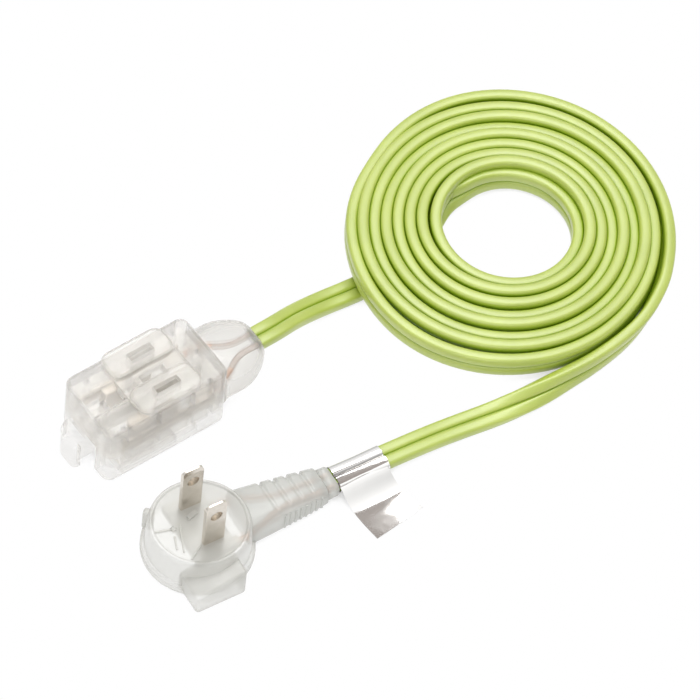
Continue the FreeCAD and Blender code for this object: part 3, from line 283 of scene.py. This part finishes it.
# The coil is fully on edge between these turns, and leans by these shares of a quarter turn at its ends
ON_EDGE_FROM, ON_EDGE_TO = 0.16, 8.3
OUTER_LEAN, INNER_LEAN = 0.2, 0.15


def eased(share):
    """A share from 0 to 1 that starts and ends slowly."""
    return share * share * (3 - 2 * share)


def along_list(stops, where):
    """A value read from (place, value) stops, easing from each to the next."""
    for (first, low), (last, high) in zip(stops, stops[1:]):
        if where <= last:
            return low + (high - low) * eased(max(0.0, (where - first) / (last - first)))
    return stops[-1][1]


def coil_point(turn):
    """A point of the coil's middle line. Turns count inward from its outer end, with growing angles."""
    angle = math.radians(START_ANGLE + 360 * turn)
    short = OVAL_OUTER + OVAL_STEP * turn
    oval = (1 - short) / (1 + short)
    axis = math.radians(LONG_AXIS + AXIS_STEP * turn)
    radius = OUTER_RADIUS - PITCH * turn + PITCH_EASE * turn ** 2
    radius = radius * (1 + oval * math.cos(2 * (angle - axis))) + along_list(LOOSE, turn)
    # The spline cuts the corners between its control points, so they stand out by as much
    radius /= math.cos(math.pi / POINTS_PER_TURN)
    x = COIL_CENTRE[0] + CENTRE_DRIFT[0] * turn + radius * math.cos(angle)
    y = COIL_CENTRE[1] + CENTRE_DRIFT[1] * turn + radius * math.sin(angle)
    lifted = TILT * max(0.0, LOW_X - x) + along_list(LIFT, turn)
    return x, y, CORD_WIDTH / 2 + max(FLOOR_GAP, lifted)


def cord_route():
    """Every control point of the cord with its turn, from the outlet to the plug."""
    coil = []
    steps = int(TURNS * POINTS_PER_TURN)
    for step in range(steps + 1):
        turn = TURNS * (1 - step / steps)
        outer_share = max(0.0, 1 - turn / ON_EDGE_FROM)
        inner_share = max(0.0, turn - ON_EDGE_TO) / (TURNS - ON_EDGE_TO)
        coil.append((coil_point(turn), 1 - OUTER_LEAN * outer_share - INNER_LEAN * inner_share))
    return LEAD + INNER_TURN + coil + OUTER_TURN + TAIL


PROFILE_HALF = [0.0, 0.1, 0.22, 0.38, 0.6, 1.0, 1.5, 2.0, 2.5, 2.9, 3.2, 3.42, 3.54, CORD_WIDTH / 2]
PROFILE_X = PROFILE_HALF[::-1] + [-x for x in PROFILE_HALF[1:]]
LOBE_POWER, GROOVE_LEFT = 3.3, 0.75


def cord_profile():
    """The flat cord's section: two broad cores side by side with a narrow groove between them."""
    curve = bpy.data.curves.new("cord_section", "CURVE")
    curve.dimensions = "2D"
    half, lobe = CORD_THICKNESS / 2, CORD_WIDTH / 4
    upper = []
    for x in PROFILE_X:
        y = half * max(0.0, 1 - (abs(abs(x) - lobe) / lobe) ** LOBE_POWER) ** (1 / LOBE_POWER)
        upper.append((x, max(y, GROOVE_LEFT if abs(x) < lobe else 0.0)))
    # Known fault: in this order the points turn the swept faces inward. Reversed, they would face outward
    points = upper + [(x, -y) for x, y in reversed(upper[1:-1])]
    spline = curve.splines.new("POLY")
    spline.points.add(len(points) - 1)
    for point, (x, y) in zip(spline.points, points):
        point.co = (x * MM, y * MM, 0, 1)
    spline.use_cyclic_u = True
    made = in_scene("cord_section", curve)
    made.hide_render = True
    return made


def make_cord():
    """The whole cord: its section swept along its route."""
    curve = bpy.data.curves.new("cord", "CURVE")
    curve.dimensions = "3D"
    curve.twist_mode = "Z_UP"
    curve.resolution_u = 5
    curve.bevel_mode = "OBJECT"
    curve.bevel_object = cord_profile()
    curve.use_fill_caps = True
    route = cord_route()
    spline = curve.splines.new("NURBS")
    spline.points.add(len(route) - 1)
    for point, (place, turned) in zip(spline.points, route):
        point.co = (*(Vector(place) * MM), 1)
        point.tilt = turned * math.pi / 2
    spline.order_u = 3
    spline.use_endpoint_u = True
    made = in_scene("cord", curve)
    finish(made, "cord_jacket")
    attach(made, "root")
    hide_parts("cord_lead", "cord_inner_twist", "cord_coil", "cord_outer_twist", "cord_tail")
    return made


def declare_cord():
    """Lists the plug's inner pieces on the cord, and does nothing more with the list."""
    hidden = ["blade_carrier"]
    hidden += ["%s_%s" % (kind, side) for kind in ("plug_crimp", "plug_conductor") for side in SIDES]


cord = make_cord()


# Modelling in millimetres

# Points of one piece that are closer than this are one point
MERGE_MM = 0.002
# A bevelled edge is rounded in this many steps, where its faces meet at more than this angle
EDGE_STEPS, EDGE_DEGREES = 3, 35


def finished(name, shape, slot, replaced, place=Matrix.Identity(4), bevel_mm=0.0, crisp_degrees=180.0):
    """A piece from a bmesh in millimetres: put in place, made whole, given its finish, riding on root."""
    bmesh.ops.transform(shape, verts=shape.verts, matrix=Matrix.Scale(MM, 4) @ place)
    bmesh.ops.remove_doubles(shape, verts=shape.verts, dist=MERGE_MM * MM)
    bmesh.ops.recalc_face_normals(shape, faces=shape.faces)
    for face in shape.faces:
        face.smooth = True
    for edge in shape.edges:
        edge.smooth = edge.calc_face_angle(math.pi) < math.radians(crisp_degrees)
    made = mesh_object(name, shape)
    if bevel_mm:
        rounding = made.modifiers.new("soft_edges", "BEVEL")
        rounding.width = bevel_mm * MM
        rounding.segments = EDGE_STEPS
        rounding.limit_method = "ANGLE"
        rounding.angle_limit = math.radians(EDGE_DEGREES)
        rounding.use_clamp_overlap = True
        rounding.harden_normals = True
    finish(made, slot)
    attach(made, "root")
    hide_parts(*replaced)
    return made


def ring(shape, half_a, half_b, radius, place, count, reshape=None):
    """A rounded rectangle of edges, from a circle whose quarters move apart. reshape may move its points."""
    made = bmesh.ops.create_circle(shape, segments=count, radius=radius)["verts"]
    half_step = Matrix.Rotation(math.pi / count, 4, "Z")
    for vert in made:
        vert.co = half_step @ vert.co
        vert.co.x += math.copysign(half_a - radius, vert.co.x)
        vert.co.y += math.copysign(half_b - radius, vert.co.y)
        if reshape:
            reshape(vert.co)
        vert.co = place @ vert.co
    return list({edge for vert in made for edge in vert.link_edges})


def skin(shape, rings, capped=True):
    """Join rings one to the next, and close both ends."""
    for first, second in zip(rings, rings[1:]):
        bmesh.ops.bridge_loops(shape, edges=first + second)
    if capped:
        for end in (rings[0], rings[-1]):
            bmesh.ops.contextual_create(shape, geom=end)


def soften(shape, verts, offset, segments):
    """Round every edge at these points."""
    bmesh.ops.bevel(shape, geom=list({edge for vert in verts for edge in vert.link_edges}), offset=offset,
                    segments=segments, profile=0.5, affect="EDGES", material=-1)


# A ring made in the plane of x and y stands across the x axis, its own x along y and its own y along z
ACROSS_X = Matrix(((0, 0, 1, 0), (1, 0, 0, 0), (0, 1, 0, 0), (0, 0, 0, 1)))
PLUG_PLACE = Matrix.Translation((-17.0, -41.8, 0)) @ Matrix.Rotation(math.radians(-5.6), 4, "Z")


# Plug

# The disc's outline as radius and height: flange, groove, skirt, rim and a face that is a little sunk
RIM_Z, FACE_Z = 13.0, 12.6
DISC_OUTLINE = [(0, 0), (15.3, 0), (15.8, 0.5), (15.8, 1.7), (15.5, 2.0), (15.7, 2.3), (15.7, 3.1),
                (15.4, 3.5), (14.8, 3.6), (14.3, 11.6), (14.1, 12.4), (13.7, RIM_Z), (13.1, RIM_Z),
                (12.7, FACE_Z), (0, FACE_Z)]
DISC_STEPS, DISC_EDGE = 96, 0.25
# The finger tab, lowest value first. Its top slopes up to the right
TAB_X, TAB_Y, TAB_TOP, TAB_EDGE = (-10.9, 4.7), (-18.7, -8.0), (6.8, 10.4), 1.1
# Lug and moulding marks of the disc: middle, size, heading, rounding
FACE_MARKS = [((-10.0, 10.2, 7.6), (3.2, 2.6, 7.5), 134, 0.8),
              ((-7.6, 1.2, RIM_Z), (1.5, 1.5, 0.9), 20, 0.35),
              ((-10.2, 2.0, RIM_Z), (5.2, 0.6, 0.5), -16, 0.2),
              ((-7.0, -2.5, RIM_Z), (9.0, 0.5, 0.4), 68, 0.18),
              ((-5.8, -8.2, RIM_Z), (5.2, 0.6, 0.4), 31, 0.18),
              ((-0.8, 2.9, RIM_Z), (3.4, 1.5, 0.8), 15, 0.38),
              ((-9.2, -3.0, RIM_Z), (4.4, 0.5, 0.3), 70, 0.14)]


def plug_disc():
    """The moulded disc: flange, skirt and face turned in one, with a finger tab and a small lug."""
    shape = bmesh.new()
    verts = [shape.verts.new((r, 0, z)) for r, z in DISC_OUTLINE]
    edges = [shape.edges.new(pair) for pair in zip(verts, verts[1:])]
    bmesh.ops.spin(shape, geom=verts + edges, cent=(0, 0, 0), axis=(0, 0, 1), angle=2 * math.pi,
                   steps=DISC_STEPS, use_merge=True)
    tab = bmesh.ops.create_cube(shape, size=1)["verts"]
    for vert in tab:
        right, far, top = vert.co.x > 0, vert.co.y > 0, vert.co.z > 0
        vert.co = (TAB_X[right], TAB_Y[far], TAB_TOP[right] * top)
    soften(shape, tab, TAB_EDGE, 4)
    for middle, size, angle, soft in FACE_MARKS:
        mark = bmesh.ops.create_cube(shape, size=1)["verts"]
        bmesh.ops.scale(shape, verts=mark, vec=size)
        heading = Matrix.Rotation(math.radians(angle), 3, "Z")
        bmesh.ops.rotate(shape, verts=mark, cent=(0, 0, 0), matrix=heading)
        bmesh.ops.translate(shape, verts=mark, vec=middle)
        soften(shape, mark, soft, 3)
    return finished("plug_disc", shape, "frosted_plastic", ["plug_body"], PLUG_PLACE, bevel_mm=DISC_EDGE)


# Strain relief: distance from the disc's centre, half width, lowest and highest z
RELIEF = [(12.6, 7.1, 0.5, 11.3), (20.0, 6.7, 0.4, 10.2), (31.0, 5.8, 0.3, 8.8), (38.4, 5.0, 0.3, 7.7)]
RELIEF_START, RELIEF_END, RELIEF_CORD_Z = RELIEF[0][0], RELIEF[-1][0], 3.9
RELIEF_STEPS, RELIEF_CORNER, RELIEF_POINTS, END_ROUND = 84, 2.6, 48, 0.5
FIRST_VALLEY, VALLEY_PITCH, VALLEYS, VALLEY_DEPTH, VALLEY_HALF = 21.9, 4.0, 4, 0.8, 0.8
# How much the valleys lean to the far side, how softly they fade out below, and how much they narrow the neck
VALLEY_LEAN, VALLEY_FADE, VALLEY_NARROWS = 0.7, 1.4, 0.6
COMB_FROM, COMB_PITCH, COMB_TEETH = 23.6, 1.75, 8
TOOTH_LONG, TOOTH_DEEP, TOOTH_TALL_SHARE, TOOTH_SUNK, TOOTH_EDGE = 0.75, 1.2, 0.62, 0.35, 0.25
# The collar: distance from the disc's centre, half width, half thickness
COLLAR = [(38.0, 4.5, 2.6), (41.6, 4.4, 2.5), (42.05, 4.2, 2.3), (42.2, 3.9, 2.0)]
COLLAR_CORNER, COLLAR_DIP, COLLAR_DIP_HALF = 1.9, 0.22, 1.1


def relief_size(x):
    """The neck's half width, lowest and highest z at a distance from the disc's centre."""
    for first, last in zip(RELIEF, RELIEF[1:]):
        if x <= last[0] + 1e-6:
            share = (x - first[0]) / (last[0] - first[0])
            return [a + (b - a) * share for a, b in zip(first[1:], last[1:])]


def strain_relief():
    """A tapered neck that is plain below and scalloped above, then a small collar round the cord."""
    shape = bmesh.new()
    rings = []
    for step in range(RELIEF_STEPS + 1):
        x = RELIEF_START + (RELIEF_END - RELIEF_START) * step / RELIEF_STEPS
        half, low, high = relief_size(x)
        valley = 0.0
        for number in range(VALLEYS):
            away = abs(x - FIRST_VALLEY - number * VALLEY_PITCH) / VALLEY_HALF
            valley = max(valley, VALLEY_DEPTH * max(0.0, 1 - away * away))
        tall = (high - low) / 2

        def scallop(spot):
            share = eased(min(1.0, max(0.0, (spot.y / tall + VALLEY_LEAN * spot.x / half) / VALLEY_FADE)))
            spot.y -= valley * share
            spot.x *= 1 - VALLEY_NARROWS * valley * share / half
        at_end = max(0.0, (x - RELIEF_END + END_ROUND) / END_ROUND)
        drawn_in = END_ROUND * (1 - math.sqrt(1 - at_end ** 2))
        place = Matrix.Translation((x, 0, (low + high) / 2)) @ ACROSS_X
        rings.append(ring(shape, half - drawn_in, tall - drawn_in, RELIEF_CORNER, place, RELIEF_POINTS,
                          scallop))
    skin(shape, rings)

    for number in range(COMB_TEETH):
        x = COMB_FROM + number * COMB_PITCH
        half, low, high = relief_size(x)
        tooth = bmesh.ops.create_cube(shape, size=1)["verts"]
        bmesh.ops.scale(shape, verts=tooth, vec=(TOOTH_LONG, TOOTH_DEEP, TOOTH_TALL_SHARE * (high - low)))
        bmesh.ops.translate(shape, verts=tooth, vec=(x, TOOTH_SUNK - half, (high + low) / 2))
        soften(shape, tooth, TOOTH_EDGE, 2)

    def two_lobes(spot):
        spot.y *= 1 - COLLAR_DIP * math.exp(-(spot.x / COLLAR_DIP_HALF) ** 2)
    collar = []
    for x, half, thick in COLLAR:
        place = Matrix.Translation((x, 0, RELIEF_CORD_Z)) @ ACROSS_X
        collar.append(ring(shape, half, thick, COLLAR_CORNER, place, RELIEF_POINTS, two_lobes))
    skin(shape, collar)
    made = finished("plug_neck", shape, "frosted_plastic", ["plug_strain_relief"], PLUG_PLACE)
    # The neck is of the disc's vinyl, but reads denser
    made.data.materials[0] = frosted_vinyl("dense_frosted_vinyl", "#E3E4DF", 0.78, 0.94)
    return made


BLADE_HALF, BLADE_THICK, BLADE_LOW, BLADE_TOP = 3.175, 1.5, 5.0, 29.8
BLADE_OFFSET_X, BLADE_OFFSET_Y = 0.4, 6.35
HOLE_Z, HOLE_RADIUS = 24.9, 1.8
# The blade's outline has this corner, and the flat inside it begins this far in at the sides and at the tip
BLADE_CORNER, FLAT_CORNER, FLAT_IN, FLAT_BELOW_TIP = 1.5, 1.2, 0.3, 1.1
# The outline is thinned by EDGE_THIN on each face, and by TIP_THIN more over the last TIP_TALL of the tip
EDGE_THIN, TIP_THIN, TIP_TALL = 0.1, 0.42, 1.2
BLADE_EDGE, BLADE_CRISP, BLADE_POINTS = 0.12, 10, 32


def blade(side, word):
    """A nickel-plated blade: rounded tip thinned to a narrow flat, a hole, its outline's edges broken."""
    shape = bmesh.new()
    upright = Matrix.Rotation(math.pi / 2, 4, "X")
    half_tall, middle_z = (BLADE_TOP - BLADE_LOW) / 2, (BLADE_LOW + BLADE_TOP) / 2
    outlines = []
    for face in (-1, 1):
        middle = Matrix.Translation((0, face * BLADE_THICK / 2, middle_z)) @ upright
        hole_middle = Matrix.Translation((0, face * BLADE_THICK / 2, HOLE_Z)) @ upright
        outer = ring(shape, BLADE_HALF, half_tall, BLADE_CORNER, middle, BLADE_POINTS)
        shoulder = ring(shape, BLADE_HALF - FLAT_IN, half_tall - FLAT_BELOW_TIP, FLAT_CORNER, middle,
                        BLADE_POINTS)
        hole = ring(shape, HOLE_RADIUS, HOLE_RADIUS, HOLE_RADIUS, hole_middle, BLADE_POINTS)
        for vert in {vert for edge in outer for vert in edge.verts}:
            thinned = TIP_THIN * max(0.0, (vert.co.z - BLADE_TOP + TIP_TALL) / TIP_TALL) + EDGE_THIN
            vert.co.y = face * (BLADE_THICK / 2 - thinned)
        bmesh.ops.bridge_loops(shape, edges=outer + shoulder)
        # Known fault: on the face at +y this bridge comes out folded, so the hole doesn't open there
        bmesh.ops.bridge_loops(shape, edges=shoulder + hole)
        outlines.append((outer, hole))
    for first, second in zip(*outlines):
        bmesh.ops.bridge_loops(shape, edges=first + second)
    place = PLUG_PLACE @ Matrix.Translation((BLADE_OFFSET_X, side * BLADE_OFFSET_Y, 0))
    return finished("plug_blade_" + word, shape, "nickel_blade", ["blade_" + word], place,
                    bevel_mm=BLADE_EDGE, crisp_degrees=BLADE_CRISP)


# Foil label

# The band, as distances from the disc's centre, half width and half thickness, gapes by BAND_GAPE at its ends
LABEL_START, LABEL_END, BAND_STEPS, BAND_POINTS = 42.6, 58.2, 8, 200
BAND_HALF, BAND_THICK_HALF, BAND_GAPE = 3.85, 1.95, 0.12
# Each side of the band bulges by this power of a circle's, and dips in the middle by a share of its height
BAND_BULGE, BAND_DIP, BAND_DIP_HALF = 0.67, 0.5, 0.42
# The flag's corners, near the cord and away from it
FLAG_CORNERS = [[(24.7, -48.2, 0), (39.6, -49.7, 0)], [(25.6, -66.5, 0), (41.7, -65.4, 0)]]
FLAG_ACROSS, FLAG_OUT = 14, 18
FLAG_LOW, FLAG_DROP, FLAG_DROP_SHARE = 0.3, 5.25, 0.3
EDGE_CURL, CORNER_CURL = 0.35, 0.9
FOIL_THICK = 0.16


def label_band(shape):
    """The foil round the cord, drawn into the groove between its cores."""
    rings = []
    for step in range(BAND_STEPS + 1):
        x = LABEL_START + (LABEL_END - LABEL_START) * step / BAND_STEPS
        loose = BAND_GAPE * abs(2 * step / BAND_STEPS - 1)

        def two_lobes(spot):
            spot.x = math.copysign((BAND_HALF + loose) * abs(spot.x) ** BAND_BULGE, spot.x)
            spot.y = math.copysign((BAND_THICK_HALF + loose) * abs(spot.y) ** BAND_BULGE, spot.y)
            spot.y *= 1 - BAND_DIP * math.exp(-(spot.x / BAND_DIP_HALF) ** 2)
        place = PLUG_PLACE @ Matrix.Translation((x, 0, RELIEF_CORD_Z)) @ ACROSS_X
        rings.append(ring(shape, 1, 1, 1, place, BAND_POINTS, two_lobes))
    skin(shape, rings, capped=False)


def label_flag(shape):
    """The two foil ends stuck together: off the outer core's top and down to the surface, a little bowed."""
    made = bmesh.ops.create_grid(shape, x_segments=FLAG_ACROSS, y_segments=FLAG_OUT, size=0.5)["verts"]
    (near_a, near_b), (far_a, far_b) = [[Vector(corner) for corner in row] for row in FLAG_CORNERS]
    for vert in made:
        s, t = vert.co.x + 0.5, 0.5 - vert.co.y
        spot = near_a.lerp(near_b, s).lerp(far_a.lerp(far_b, s), t)
        draped = FLAG_DROP * math.exp(-(t / FLAG_DROP_SHARE) ** 2)
        spot.z = FLAG_LOW + draped + EDGE_CURL * t ** 3 + CORNER_CURL * (s * t) ** 2.5
        vert.co = spot


def foil_label():
    """Band and flag as one thin sheet of film."""
    shape = bmesh.new()
    label_band(shape)
    label_flag(shape)
    made = finished("label", shape, "label_foil", ["foil_label"])
    thick = made.modifiers.new("two_layers", "SOLIDIFY")
    thick.thickness = FOIL_THICK * MM
    thick.offset = 0
    return made


on_cord = [plug_disc(), strain_relief(), foil_label()] + [blade(side, word) for word, side in SIDES.items()]
declare_cord()


# Floor, camera and light

# Lights: place, width and power, in metres and watts
KEY, FILL = ((0.35, 0.3, 1.25), 1.1, 11), ((-0.8, -0.7, 0.7), 1.2, 5)
FLOOR_SIZE = 6.0
WHITE = (1, 1, 1, 1)
# The world's strength for light that is scattered, and for mirrored light from low and from high
DIM_WORLD, LOW_GLOSS, HIGH_GLOSS = 0.44, 0.3, 1.15
# The grey panel: middle and size in millimetres, and heading
CARD_MIDDLE, CARD_SIZE, CARD_TURN = (31.2, -50.6, 40.0), (44.0, 28.0), 28.7


def larger(tree, first, second):
    """The larger of two sockets' values."""
    return add(tree, "Math", links={0: first, 1: second}, operation="MAXIMUM").outputs[0]


def seen_rays(tree):
    """1 for rays that show the backdrop: from the camera, mirrored, or through clear plastic."""
    path = add(tree, "LightPath")
    return larger(tree, larger(tree, path.outputs["Is Camera Ray"], path.outputs["Is Glossy Ray"]),
                  path.outputs["Is Transmission Ray"])


def studio_floor():
    """A floor that reads white where it is open and shows only close contact shadows."""
    bpy.ops.mesh.primitive_plane_add(size=FLOOR_SIZE, location=(0, 0, 0))
    floor = bpy.context.object
    floor.name = "floor"
    made = bpy.data.materials.new("pale_floor")
    tree = bare_tree(made)
    matt = add(tree, "BsdfDiffuse", {"Color": linear("#F4F4F4")})
    glow = add(tree, "Emission", {"Color": WHITE, "Strength": 1.0})
    path = add(tree, "LightPath")
    corner = add(tree, "AmbientOcclusion", {"Distance": 8 * MM}, samples=8)
    open_sky = add(tree, "MapRange", {"From Min": 0.08, "From Max": 0.3}, {"Value": corner.outputs["AO"]})
    through = larger(tree, path.outputs["Is Transmission Ray"], path.outputs["Transparent Depth"])
    lit = add(tree, "Math", links={0: open_sky.outputs["Result"], 1: through}, operation="MAXIMUM",
              use_clamp=True)
    share = add(tree, "Math", links={0: seen_rays(tree), 1: lit.outputs[0]}, operation="MULTIPLY")
    mixed = add(tree, "MixShader", links={"Fac": share.outputs[0], 1: matt.outputs[0], 2: glow.outputs[0]})
    add(tree, "OutputMaterial", links={"Surface": mixed.outputs[0]})
    floor.data.materials.append(made)


def studio_world():
    """White to the camera, dim to scattered light, and brighter from above in what gloss mirrors."""
    world = bpy.data.worlds.new("studio")
    bpy.context.scene.world = world
    tree = bare_tree(world)
    seen = seen_rays(tree)
    dim = add(tree, "Background", {"Color": WHITE, "Strength": DIM_WORLD})
    toward = add(tree, "TexCoord")
    height = add(tree, "SeparateXYZ", links={"Vector": toward.outputs["Generated"]})
    level = add(tree, "MapRange",
                {"From Min": -0.1, "From Max": 0.95, "To Min": LOW_GLOSS, "To Max": HIGH_GLOSS},
                {"Value": height.outputs["Z"]})
    sky = larger(tree, level.outputs["Result"], add(tree, "LightPath").outputs["Is Camera Ray"])
    full = add(tree, "Background", {"Color": WHITE}, {"Strength": sky})
    mixed = add(tree, "MixShader", links={"Fac": seen, 1: dim.outputs[0], 2: full.outputs[0]})
    add(tree, "OutputWorld", links={"Surface": mixed.outputs[0]})


def dark_card():
    """A small grey panel above the label that only gloss sees, so that the foil has something to mirror."""
    shape = bmesh.new()
    bmesh.ops.create_grid(shape, x_segments=1, y_segments=1, size=0.5)
    bmesh.ops.scale(shape, verts=shape.verts, vec=(CARD_SIZE[0] * MM, CARD_SIZE[1] * MM, 1))
    turn = Matrix.Rotation(math.radians(CARD_TURN), 4, "Z")
    bmesh.ops.transform(shape, verts=shape.verts, matrix=Matrix.Translation(Vector(CARD_MIDDLE) * MM) @ turn)
    card = mesh_object("dark_card", shape)
    made = bpy.data.materials.new("grey_panel")
    tree = bare_tree(made)
    glow = add(tree, "Emission", {"Color": linear("#958D88")})
    add(tree, "OutputMaterial", links={"Surface": glow.outputs[0]})
    card.data.materials.append(made)
    for ray in ("camera", "diffuse", "transmission", "shadow", "volume_scatter"):
        setattr(card, "visible_" + ray, False)


def area_light(name, place, size, power):
    """A round soft light that faces the middle of the picture."""
    light = bpy.data.lights.new(name, "AREA")
    light.shape = "DISK"
    light.size = size
    light.energy = power
    made = in_scene(name, light)
    made.location = place
    made.rotation_euler = (LOOK_AT - Vector(place)).to_track_quat("-Z", "Y").to_euler()


def camera():
    """The photograph's camera, with the picture turned a little about its middle."""
    data = bpy.data.cameras.new("camera")
    data.sensor_width = SENSOR
    data.lens = SENSOR * FOCAL_PIXELS / PIXELS_ACROSS
    data.clip_start, data.clip_end = 0.1, 20
    made = in_scene("camera", data)
    forward = FORWARD.normalized()
    level = forward.cross(Vector((0, 0, 1))).normalized()
    above = level.cross(forward)
    turn = math.radians(PICTURE_TURN)
    right = level * math.cos(turn) + above * math.sin(turn)
    up = above * math.cos(turn) - level * math.sin(turn)
    rows = Matrix((right, up, -forward)).transposed().to_4x4()
    rows.translation = LOOK_AT - forward * DISTANCE
    made.matrix_world = rows
    bpy.context.scene.camera = made


studio_floor()
studio_world()
area_light("key", *KEY)
area_light("fill", *FILL)
dark_card()
camera()
bpy.context.scene.view_settings.view_transform = "Standard"
